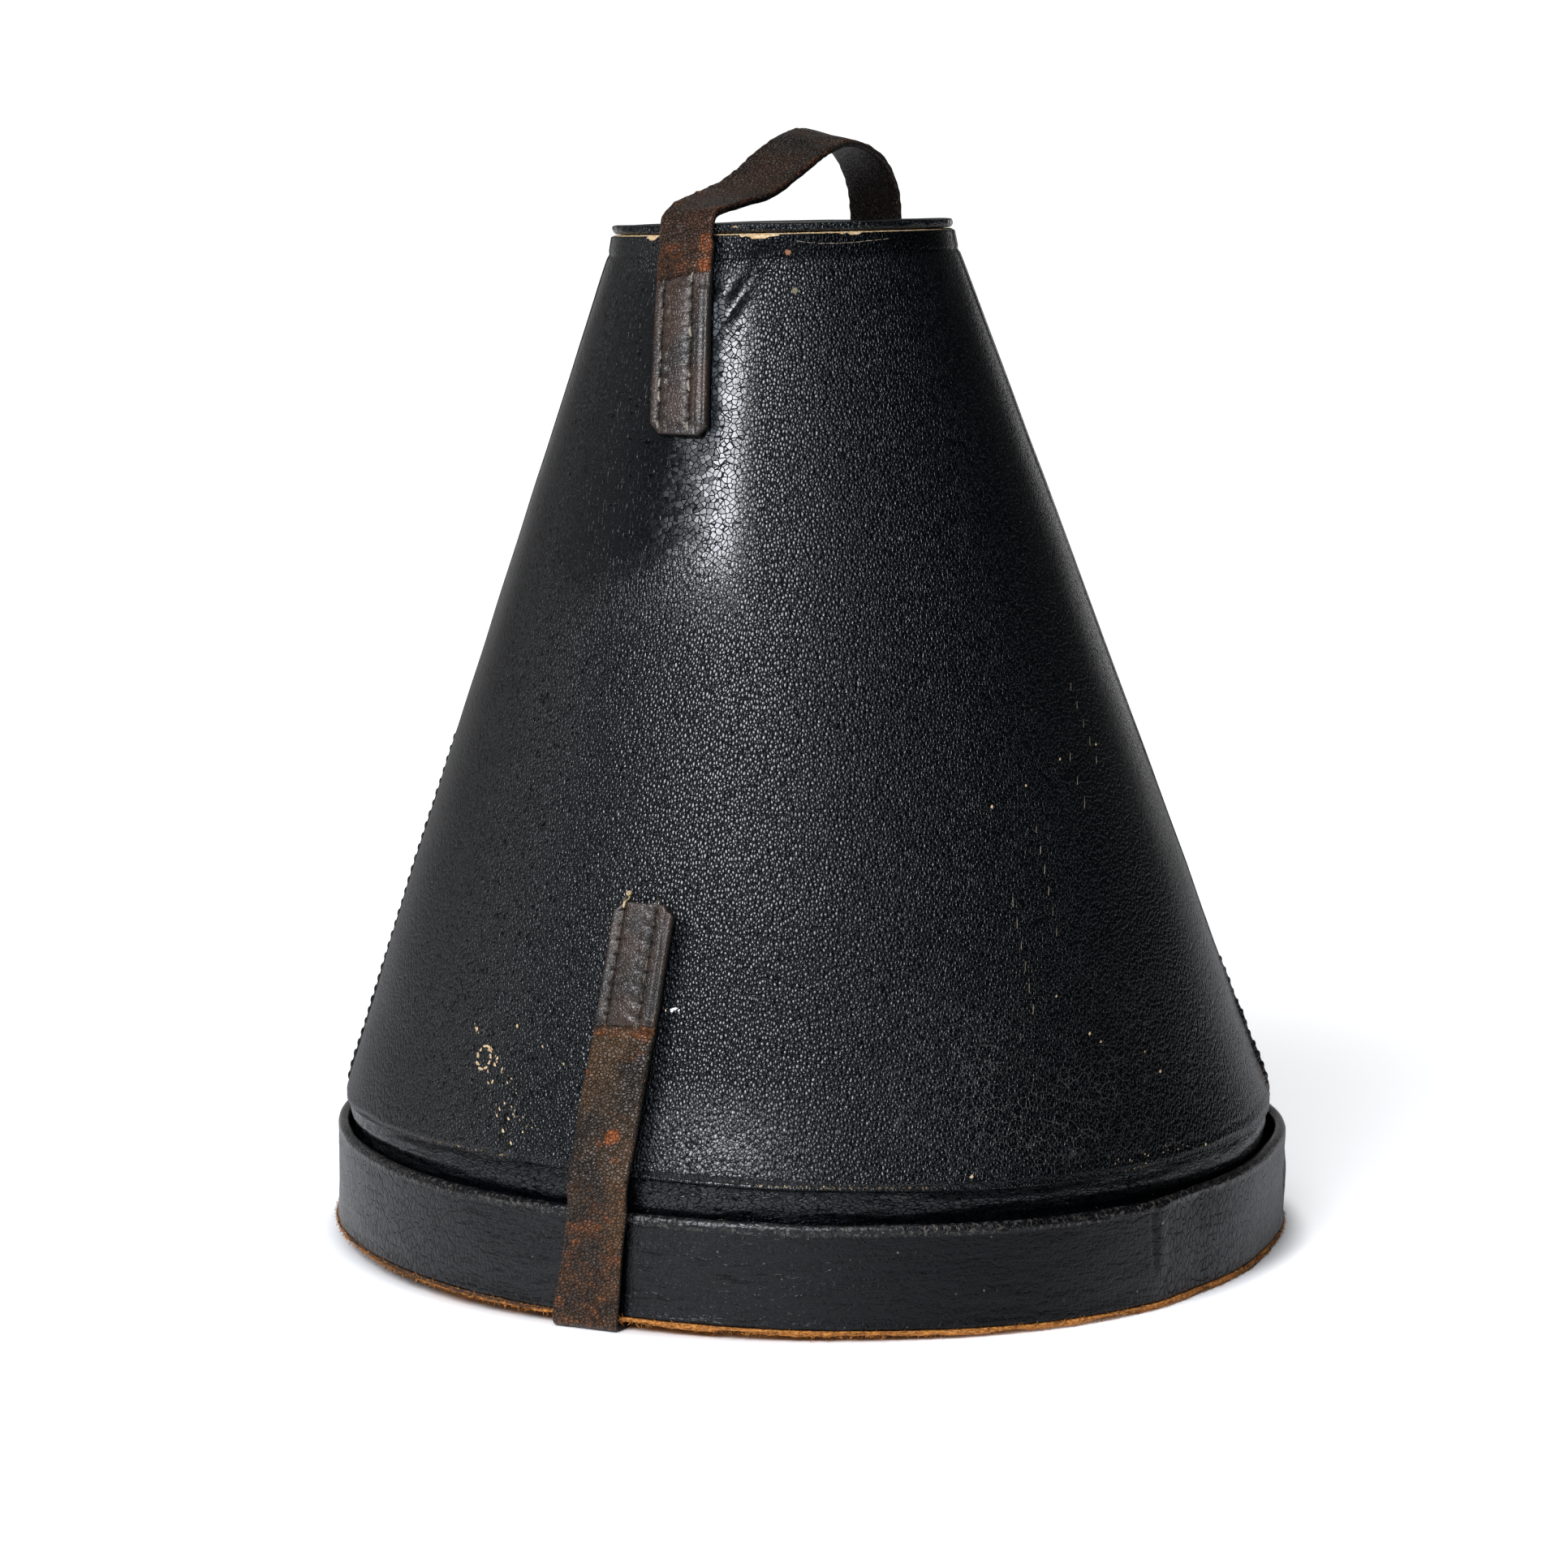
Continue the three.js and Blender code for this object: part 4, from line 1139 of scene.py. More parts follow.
strapColours = {
    "dark": (0.021, 0.014, 0.009),
    "brown": (0.068, 0.038, 0.017),
    "rust": (0.125, 0.042, 0.009),
    "orange": (0.25, 0.066, 0.012),
    "grey": (0.019, 0.0155, 0.013),
    "reddish": (0.036, 0.022, 0.016),
    "under": (0.020, 0.009, 0.005),
    "edge": (0.005, 0.004, 0.004),
    # colour of the painted shade in stitch holes and under ply edges
    "pitShade": (0.002, 0.0018, 0.0016),
}
strapSpans = {   # metres from the strap's middle
    "rustyEdge": (0.0080, 0.0112),
    "tipRust": (0.0066, 0.0084),
    "cutEdge": (0.0004, 0.0009),
    "inside": (-0.0010, -0.0005),
}


def strapLeather(name, sewn, slant, rusty, spots, look):
    # sewn: stretches in mm; rusty: (from, to, softness, strength); spots: (along, across, radius, strength)
    f = Finish(name, 0.0, 0.40)
    here = f.place("strapPlace")
    along, across, height = f.parts(here)
    solid = f.place()
    ragged = f.times(f.minus(f.noise(here, 420, 3.0, 0.6), 0.5), 0.004)
    level = f.plus(f.timesPlus(across, slant, along), ragged)
    pits = f.cells(f.scaled(f.warped(solid, 500, 0.0009), (1, 1, 1.2)), 1 / 0.0013, "DISTANCE_TO_EDGE")
    speckle = f.noise(solid, 760, 3.0, 0.7)
    fine = f.noise(solid, 2600, 3.0, 0.6)
    patch = f.noise(solid, 150, 4.0, 0.62)
    broad = f.noise(solid, 48, 3.0, 0.55)

    def within(low, high, soft):
        inside = f.between(level, low / 1000 - soft / 1000, low / 1000 + soft / 1000)
        return f.times(inside,
                       f.between(level, high / 1000 - soft / 1000, high / 1000 + soft / 1000, (1.0, 0.0)))

    rust = f.times(f.between(f.size(across), *strapSpans["rustyEdge"]), look["rustyEdge"])
    for low, high, soft, strength in rusty:
        rust = f.most(rust, f.times(within(low, high, soft), strength))
    rust = f.plus(rust, f.times(f.minus(patch, 0.5), 1.0))
    rust = f.plus(rust, f.times(f.minus(speckle, 0.5), 0.75))
    bright = None
    for s, a, radius, strength in spots:
        away = f.apart(f.warped(here, 260, 0.004), (s / 1000, a / 1000, caseForm["strapThickness"] / 2000))
        shown = f.between(away, radius / 4000, radius / 900, (strength, 0.0))
        bright = shown if bright is None else f.most(bright, shown)
    smoothed = 0.0
    for low, high in sewn:
        smoothed = f.most(smoothed, within(low, high, 0.5))
    colour = f.mix(f.between(broad, 0.38, 0.62), look["dark"], look["brown"])
    tint = f.mix(f.between(f.plus(patch, speckle), 1.08, 1.40, (0.0, 0.8)), look["rust"], look["orange"])
    colour = f.mix(f.between(rust, 0.25, 0.75), colour, tint)
    if bright is not None:
        speckled = f.between(f.plus(bright, f.times(f.minus(speckle, 0.5), 1.6)), 0.35, 0.80)
        colour = f.mix(f.times(speckled, f.least(f.times(bright, 3.0), 0.9)), colour, look["orange"])
    sheen = f.mix(f.between(broad, 0.4, 0.6), look["grey"], look["reddish"])
    tipRust = f.between(f.minus(f.size(across), f.times(along, 1.2)), *strapSpans["tipRust"])
    sheen = f.mix(f.times(tipRust, 0.8), sheen, look["rust"])
    colour = f.mix(f.times(smoothed, 0.95), colour, sheen)
    # the grain's grooves are painted darker and, below, made black metal: painted shade in the grooves
    creased = f.between(pits, 0.02, 0.20)
    colour = f.mix(f.times(f.minus(1.0, creased), f.mix(smoothed, 0.5, 0.3)), colour, look["edge"])
    inner = f.between(height, *strapSpans["inside"], (1.0, 0.0))
    colour = f.mix(inner, colour, f.mix(f.between(speckle, 0.4, 0.6), look["edge"], look["under"]))
    cutEdge = f.between(f.size(height), *strapSpans["cutEdge"])
    colour = f.mix(cutEdge, look["edge"], colour)
    depth = f.mix(smoothed, 0.30, 0.07)
    grain = f.timesPlus(creased, depth, f.times(patch, f.mix(smoothed, 0.6, 0.16)))
    drawn = f.noise(f.scaled(here, (1.0, 0.35, 1.0), (0, 0, rad(look["drawn"]))), 640, 3.0, 0.6)
    grain = f.timesPlus(drawn, f.mix(smoothed, 0.70, 0.06), grain)
    normal = f.relief(fine, 0.00006, f.relief(grain, 0.001))
    roughness = f.mix(f.between(rust, 0.25, 0.85), 0.26, 0.40)
    roughness = f.mix(smoothed, roughness, f.between(patch, 0.35, 0.65, (0.20, 0.27)))
    roughness = f.mix(cutEdge, 0.6, roughness)
    # painted shade in stitch holes, channels and under ply edges
    pitShade = f.stored("pitShade")
    colour = f.mix(pitShade, colour, look["pitShade"])
    # black metal in the grain's grooves, a painted shade
    shaded = f.times(f.minus(1.0, creased), f.mix(smoothed, 0.7, 0.2))
    shaded = f.most(shaded, f.times(inner, 0.55))
    return f.finish(colour, roughness, normal, f.most(f.times(pitShade, 0.95), shaded))


def sewnRelief(s, across, rows, start, ends, pitch):  # channels, slanted holes and pillows of a sewn stretch, with painted shade in holes and channels
    lift, pitShade = np.zeros_like(s), np.zeros_like(s)
    for row, end in zip(rows, ends):
        inner, share = (-1, 1.0) if row > 0 else (1, 0.45)
        inside = ease(s, start - 1, start + 1) * (1 - ease(s, end - 1, end + 1))
        # Stitches sit at whole spans, holes between.
        span = (end - start) / math.floor((end - start) / pitch)
        away = (np.mod((s - start) / span, 1) - 0.5) * span
        uneven = 1 + 0.5 * ripple(s / 7, across / 5, 67)
        slit = np.exp(-((away + 0.5 * (across - row)) / 0.62) ** 2)
        lift = lift - inside * bump(across, row, 0.75) * (0.22 + 0.5 * slit)
        lift = (lift + inside * share * 0.40 * uneven * bump(across, row + inner * 2.0, 1.1)
                * (1 - np.exp(-(away / 1.3) ** 2)))
        lift = (lift - inside * share * 0.30 * bump(across, row + inner * 1.6, 1.0)
                * np.exp(-(away / 0.8) ** 2))
        pitShade = np.maximum(pitShade, inside * bump(across, row, 1.0) * slit)
        pitShade = np.maximum(pitShade, 0.55 * inside * bump(across, row, 0.6))
    middle, reach = (rows[0] + rows[1]) / 2, (rows[1] - rows[0]) / 2
    inside = ease(s, start - 1, start + 2) * (1 - ease(s, min(ends) - 2, min(ends)))
    lift = (lift + 0.35 * inside * np.clip(1 - ((across - middle) / reach) ** 2, 0, 1)
            * (1 + 0.5 * ripple(s / 12, across / 6, 68)))
    lift = lift + inside * (0.5 * ease(-across, -rows[0], -rows[0] + 3.4)
                            + 0.4 * ease(across, rows[1], rows[1] + 4))
    return lift, pitShade


def clippedHalf(s, total):  # half width with clipped corners at both ends
    clip = strapLook["clip"]
    reach = np.minimum(np.minimum(s, total - s), clip) / clip
    return caseForm["strapWidth"] / 2 - clip * (1 - reach)


handleLook = {
    "end": 290.0,
    "slant": 0.15,
    # reach, rise, roll
    "rows": [(-62.5, -2.0, 0), (-60.7, 2.4, 0), (-55.4, 5.0, 3), (-45.4, 7.1, 7), (-36.0, 8.9, 9),
             (-26.6, 10.7, 12), (-15.0, 14.3, 14), (-8.0, 17.4, 15), (8.0, 24.1, 16), (19.0, 27.7, 15),
             (30.0, 29.4, 13), (40.0, 28.3, 11), (50.0, 24.9, 9), (58.3, 18.8, 6), (63.6, 10.4, 3),
             (64.8, 1.0, 0), (65.0, -7.0, 0)],
    "stitchRows": (-4.1, 7.4),
    "sewnLength": 55.0,
    "pitch": 4.8,
}


def handleLine():
    front = [handleLook["end"], handleLook["end"] + 3.5, 302, 314, 326, 336, 344, 349]
    rows = [onCone(h, -1, 0, -handleLook["slant"] * (front[-1] - h)) for h in front]
    rows += [strapRow(-63.6, 353, 0, 1 / 62)]
    rows += [strapRow(reach, topHeight + rise, roll) for reach, rise, roll in handleLook["rows"]]
    rows += [onCone(h, 1) for h in reversed(front)]
    return StrapLine(rows, 180, strapLook["step"])


def handleStrap():
    line = handleLine()
    total = line.length[-1]
    sewn = handleLook["sewnLength"]
    ends = [sewn - 0.22 * row for row in handleLook["stitchRows"]]

    def relief(s, across):
        lift, pitShade = sewnRelief(s, across, handleLook["stitchRows"], 3.0, ends, handleLook["pitch"])
        backLift, backPitShade = sewnRelief(total - s, across, handleLook["stitchRows"], 3.0, ends,
                                       handleLook["pitch"])
        lift, pitShade = lift + backLift, np.maximum(pitShade, backPitShade)
        onLoop = ease(s, sewn, sewn + 12) * (1 - ease(s, total - sewn - 12, total - sewn))
        lift = lift + onLoop * 0.3 * ripple(s / 9, across / 8, 61)
        lift = lift + onLoop * 0.18 * ripple((s + 0.6 * across) / 2.3, across / 7, 62)
        edgeWorn = bump(np.abs(across), 10.4, 1.0) * ripple(s / 2.2, across / 4, 64)
        lift = lift - 0.40 * edgeWorn * onLoop
        ply = sewn + 1.5 - across * 0.22
        plyEdge = bump(s, ply, 0.6) * ease(across, -7, -4) * (1 - ease(across, 9, 10))
        ribs = (bump(across, -8.9, 0.5) + 0.6 * bump(across, -6.7, 0.4)) * (1 - ease(s, sewn - 2, sewn + 6))
        lift = lift - 0.4 * plyEdge - 0.20 * ribs * (1 + 0.5 * ripple(s / 11, across / 9, 69))
        # the ply's edge gets painted shade as well
        return lift, np.maximum(pitShade, 0.6 * plyEdge)

    def half(s):
        return (clippedHalf(s, total) + (0.3 * ripple(s / 14, 0 * s, 63) + 0.20 * ripple(s / 2.2, 0 * s, 65))
                * ease(s, 50, 70))

    rusty = [(sewn, sewn + 15, 2.5, 0.46), (sewn + 15, sewn + 50, 7, 0.24),
             (total - sewn - 28, total - sewn, 6, 0.40)]
    spots = [(sewn + 5, -9.5, 5, 0.9), (sewn + 13, -9.0, 5, 0.7), (sewn + 30, 9.5, 4, 0.5),
             (sewn + 44, 10, 4, 0.5)]
    colours = {**strapColours, "brown": (0.046, 0.021, 0.010), "rust": (0.10, 0.030, 0.008),
               "orange": (0.19, 0.050, 0.010),
               "drawn": 28, "rustyEdge": 0.5}
    material = strapLeather("carryingLeather", [(-5, sewn + 1), (total - sewn, total + 5)], 0.22, rusty,
                            spots, colours)
    along = stretches((0, sewn + 4, 0.4), (sewn + 4, total - sewn, 0.7), (total - sewn, total, 0.6))
    piece = strapMesh("carrying_strap", line, along, material, relief, half)
    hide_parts("handle_strap")
    return line


closingLook = {
    "end": 136.0,
    "stitched": 96.5,
    "asides": [(0, -2.9), (10, -1.8), (28, 0.3), (37, 1.7), (44, 2.1), (56, 2.7), (73, 3.4),
               (96.5, 4.2), (136, 6.4)],
    "stitchRows": (-7.0, 4.6),
    "pitch": 5.0,
    "studHeight": 104.0,
    "backEnd": 122.0,
    "flange": 0.8,
    "conePass": [(73, 1.9), (56, 1.7)],   # height, slack
    "trayPass": [(44, 0.9), (37, 0.7), (28, 0.2), (14, 0)],
}


def closingAside(height):  # how far the strap's front strays to its right
    return float(np.interp(height, *zip(*closingLook["asides"])))


def closingLine():
    half = gap + caseForm["strapThickness"] / 2

    def underRim(azimuth):
        return caseForm["trayRadius"] + caseForm["baseLip"] + float(aroundRows(caseForm["trayRows"], azimuth))

    def drift(height, side):
        return closingAside(height) if side > 0 else 0

    def corner(rim, side):
        turns = [k * math.pi / 12 for k in range(7)]
        return [strapRow(side * (rim + half * math.cos(a)), -half * math.sin(a), 0, 0, drift(0, side))
                for a in turns]

    def flank(rim, side):
        rows = [onCone(h, side, slack, drift(h, side)) for h, slack in closingLook["conePass"]]
        return rows + [strapRow(side * (rim + half + slack), h, 0, 0, drift(h, side))
                       for h, slack in closingLook["trayPass"]]

    top = closingLook["end"]
    sewn = [onCone(h, 1, 0, drift(h, 1)) for h in (top, top - 3.5, 122, 109, closingLook["stitched"])]
    back = closingLook["backEnd"]
    tip = [onCone(h, -1, gap + closingLook["flange"])
           for h in (back, back - 3.5, 112, closingLook["studHeight"], 96, 88)]
    under = [strapRow(reach, -half) for reach in (120, 60, 0, -60, -120)]
    frontRim, backRim = underRim(caseForm["closingAzimuth"]), underRim(caseForm["closingAzimuth"] + 180)
    rows = sewn + flank(frontRim, 1) + corner(frontRim, 1) + under
    rows += list(reversed(tip + flank(backRim, -1) + corner(backRim, -1)))
    return StrapLine(rows, caseForm["closingAzimuth"], strapLook["step"])


def closingStrap():
    line = closingLine()
    total = line.length[-1]
    sewnEnd = line.alongAt(closingLook["stitched"], True)

    def relief(s, across):
        lift, pitShade = sewnRelief(s, across, closingLook["stitchRows"], 0.0, [sewnEnd - 1] * 2,
                               closingLook["pitch"])
        ply = bump(s, sewnEnd + 0.3 + across * 0.1, 0.5)
        lift = lift - 0.35 * ply
        wrinkled = ease(s, sewnEnd, sewnEnd + 3) * (1 - ease(s, sewnEnd + 18, sewnEnd + 34))
        lift = lift + wrinkled * 0.26 * ripple((s + 0.25 * np.abs(across)) / 1.7, across / 6, 71)
        lift = lift + 0.22 * ripple(s / 13, across / 9, 72) * ease(s, sewnEnd, sewnEnd + 10)
        flap = bump(across, 8.6 + 0.2 * ripple(s / 9, 0 * s, 74), 0.45) * (1 - ease(s, sewnEnd, sewnEnd + 8))
        lift = lift - 0.3 * flap - 0.25 * ease(across, 8.6, 9.1) * (1 - ease(s, sewnEnd - 4, sewnEnd))
        lift = lift - 3.0 * bump(np.hypot(s - studAt, across), 0, 1.6)
        # the flap's and ply's edges get painted shade as well
        return (np.maximum(lift, -caseForm["strapThickness"] * 0.8),
                np.maximum(pitShade, 0.7 * np.maximum(flap, 0.6 * ply)))

    def half(s):
        flare = 0.8 * ease(s, at(25), at(3)) * (1 - ease(s, at(3) + 4, at(3) + 40))
        return clippedHalf(s, total) + 0.2 * ripple(s / 18, 0 * s, 73) * ease(s, 10, 20) + flare

    def at(height):
        return line.alongAt(height, True)

    studAt = total - 19.0
    rusty = [(sewnEnd + 0.3, sewnEnd + 4.5, 1.6, 0.66), (sewnEnd + 4, sewnEnd + 14, 4, 0.30),
             (at(72), at(44), 6, 0.22), (at(46), at(-2), 7, 0.40)]
    spots = [(at(60), 3.0, 4.0, 1.0), (at(57), -0.5, 2.4, 0.55), (at(52.5), 5.5, 2.6, 0.5),
             (at(80), -10, 2.4, 0.6), (at(32.5), -10.2, 1.5, 0.6), (at(27), -7, 1.5, 0.6),
             (sewnEnd + 3, 8.5, 3.0, 0.6), (at(6), -9.5, 4.0, 0.5), (at(36), 5, 4.0, 0.45)]
    material = strapLeather("closingLeather", [(-5, sewnEnd)], 0.1, rusty, spots,
                            {**strapColours, "drawn": 6, "rustyEdge": 0.25})
    turn = at(-1)
    along = stretches((0, sewnEnd + 3, 0.4), (sewnEnd + 3, turn + 6, 0.7), (turn + 6, total - 150, 3.0),
                      (total - 150, total, 1.0))
    piece = strapMesh("closing_strap_leather", line, along, material, relief, half, press=True)
    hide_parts("closing_strap")
    return line, sewnEnd


# Sewing.
sewingLook = {
    "thread": 0.00042,        # radius
    "dark": (0.008, 0.007, 0.006),
    "waxed": (0.10, 0.080, 0.055),
    "bleached": (0.26, 0.23, 0.18),
    "seamThread": 0.00028,
    "seamPitch": 0.0042,
    "seamPale": (0.05, 0.045, 0.035),
    "seamInset": 1.6,         # mm in from the seam's edge
    "sunk": 0.25,             # mm below the strap's face
    "knotted": (0.30, 0.22, 0.12),
    "knot": (-6.8, -3.2),     # across and along, mm from the end of the closing strap
    "cream": (0.50, 0.38, 0.22),
}


def threadFinish(name, dark, pale):
    f = Finish(name, 0.0, 0.3)
    place = f.place()
    strands = f.noise(place, 1500, 3.0, 0.6)
    shade = f.plus(f.times(strands, 0.5), f.times(f.noise(place, 160), 0.7))
    return f.finish(f.mix(f.between(shade, 0.52, 0.72), dark, pale), 0.55, f.relief(strands, 0.0003))


def alongStrap(line, start, end, across, height):  # a row on the strap, and the way out of it
    s = np.linspace(start, end, max(2, int(abs(end - start))))
    low, high = (inPlace(aged(line.points(s, across, height + k))) for k in (0, 1))
    return low, (high - low) * 1000


def alongSeam(side, sink, lowest, highest):
    heights = np.linspace(lowest, highest, 120)
    arc = np.degrees((coneLook["seamWidth"] / 2 - sewingLook["seamInset"]) / coneRadius(heights))
    azimuths = seamAzimuth(side, heights) + arc
    low, high = (conePoint(azimuths, heights, stand - sink) for stand in (0.0, 1.0))
    return low, (high - low) * 1000


def sewing(handlePath, closingPath, closingSewn):
    face = caseForm["strapThickness"] / 2 - sewingLook["sunk"]
    strapThread = threadFinish("strapThread", sewingLook["dark"], sewingLook["waxed"])
    handleThread = threadFinish("handleThread", sewingLook["dark"], sewingLook["bleached"])
    seamThread = threadFinish("seamThread", leatherLook["greyed"], sewingLook["seamPale"])
    total = handlePath.length[-1]
    rows = []
    for across in handleLook["stitchRows"]:
        ply = handleLook["sewnLength"] - across * 0.22
        rows += [alongStrap(handlePath, 3.0, ply, across, face),
                 alongStrap(handlePath, total - 3.0, total - ply, across, face)]
    stitches = {
        "carrying_stitches": (rows, handleLook["pitch"] / 1000, handleThread, "brown_leather"),
        "closing_stitches": ([alongStrap(closingPath, 0.0, closingSewn - 1, across, face)
                              for across in closingLook["stitchRows"]],
                             closingLook["pitch"] / 1000, strapThread, "brown_leather"),
        "seam_stitches": ([alongSeam(0, 0.05, 50, 175), alongSeam(1, 0.3, 50, 96)],
                          sewingLook["seamPitch"], seamThread, "black_leather"),
    }
    tree = stitchTree()
    for name, (lines, pitch, material, slot) in stitches.items():
        source = lineMesh(name + "_line", [row[0] for row in lines], [row[1] for row in lines])
        thread = sewingLook["seamThread" if name == "seam_stitches" else "thread"]
        values = {"Pitch": pitch, "Thread": thread, "Bow": thread * 1.5, "Material": material}
        piece = made(name, source, tree, values)
        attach(piece, "root")


def tube(name, path, radius, material):  # a closed thread along a short path
    sides = 7
    path = np.asarray(path, float)
    run = np.gradient(path, axis=0)
    run /= np.linalg.norm(run, axis=1)[:, None]
    first = np.cross(run, np.array([0.3, 0.5, 0.8]))
    first /= np.linalg.norm(first, axis=1)[:, None]
    second = np.cross(run, first)
    turn = np.linspace(0, 2 * math.pi, sides + 1)[:-1]
    ring = first[:, None, :] * np.cos(turn)[None, :, None] + second[:, None, :] * np.sin(turn)[None, :, None]
    thin = np.minimum(1, 0.5 + np.minimum(np.arange(len(path)), np.arange(len(path))[::-1]) / 3)
    grid = path[:, None, :] + ring * (radius * thin)[:, None, None]
    piece = cappedSolid(name, grid, path[[0, -1]], {}, {})
    piece.data.materials.append(material)
    return piece


def knot(line):  # the thread's end, tied off above the strap
    across, along = sewingLook["knot"]
    turn = np.linspace(0, 5.2 * math.pi, 70)
    s = along + 0.55 * np.cos(turn)
    a = across + 0.6 * np.sin(turn * 0.9 + 0.4)
    rise = 0.5 + 0.35 * (1 + np.sin(turn * 1.4))
    tail = np.linspace(0, 1, 14)[1:]
    s = np.concatenate([s, s[-1] + tail * (2.2 - s[-1])])
    a = np.concatenate([a, a[-1] + tail * (closingLook["stitchRows"][0] - a[-1])])
    rise = np.concatenate([rise, rise[-1] * (1 - tail) + 0.2 * tail])
    height = rise + caseForm["strapThickness"] / 2 * np.where(s < 0, 2 * ease(s, -1.6, 0.4) - 1, 1)
    path = inPlace(aged(line.points(np.maximum(s, 0), a, height)))
    above = inPlace(aged(line.points(0.0, 0.0, 0.0))) - inPlace(aged(line.points(1.0, 0.0, 0.0)))
    path = path + np.maximum(-s, 0)[:, None] * above
    piece = tube("thread_knot", path, sewingLook["thread"],
                 threadFinish("knotThread", sewingLook["knotted"], sewingLook["cream"]))
    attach(piece, "root")


# Flecks on the leather.
fleckLook = {
    "flake": (-12, 79, 4),      # azimuth, height, radius of a broken ring of lifted paint
    # from, to, how many
    "lifted": [((-14, 88), (-8, 70), 11), ((-7, 66), (-3, 54), 8), ((-7, 93), (1, 82), 3)],
    "liftedSize": (0.7, 1.5),
    "liftedStray": (2.2, 2.5),      # degrees, mm away from the line between the two places
    "scattered": [((-15, 90), (-6, 70), 10), ((-7, 65), (-2, 58), 11), ((6, 50), (12, 48.6), 6),
                  ((24, 49), (34, 48.6), 6), ((70, 50.5), (76, 50.5), 7), ((78, 52), (83, 51), 6)],
    # from, to, how many
    "specks": [((60, 170), (90, 180), 4), ((64, 102), (84, 74), 5), ((10, 50), (88, 50), 3)],
    "speckSize": (0.7, 1.3),
    "speckStray": (3, 4),
    "scratches": [((64, 120), (86, 190), 4)],
    "scratchLength": (20, 55),
    "scratchLean": 3,               # degrees round the cone from end to end
    "topCrack": {"from": 36, "to": 69, "height": 354.5, "wander": 0.8, "parts": 5},
    "chip": (15, 103),
    "shades": ((0.075, 0.072, 0.066), (0.55, 0.42, 0.26), (0.60, 0.62, 0.64)),   # dust, cream, white
}


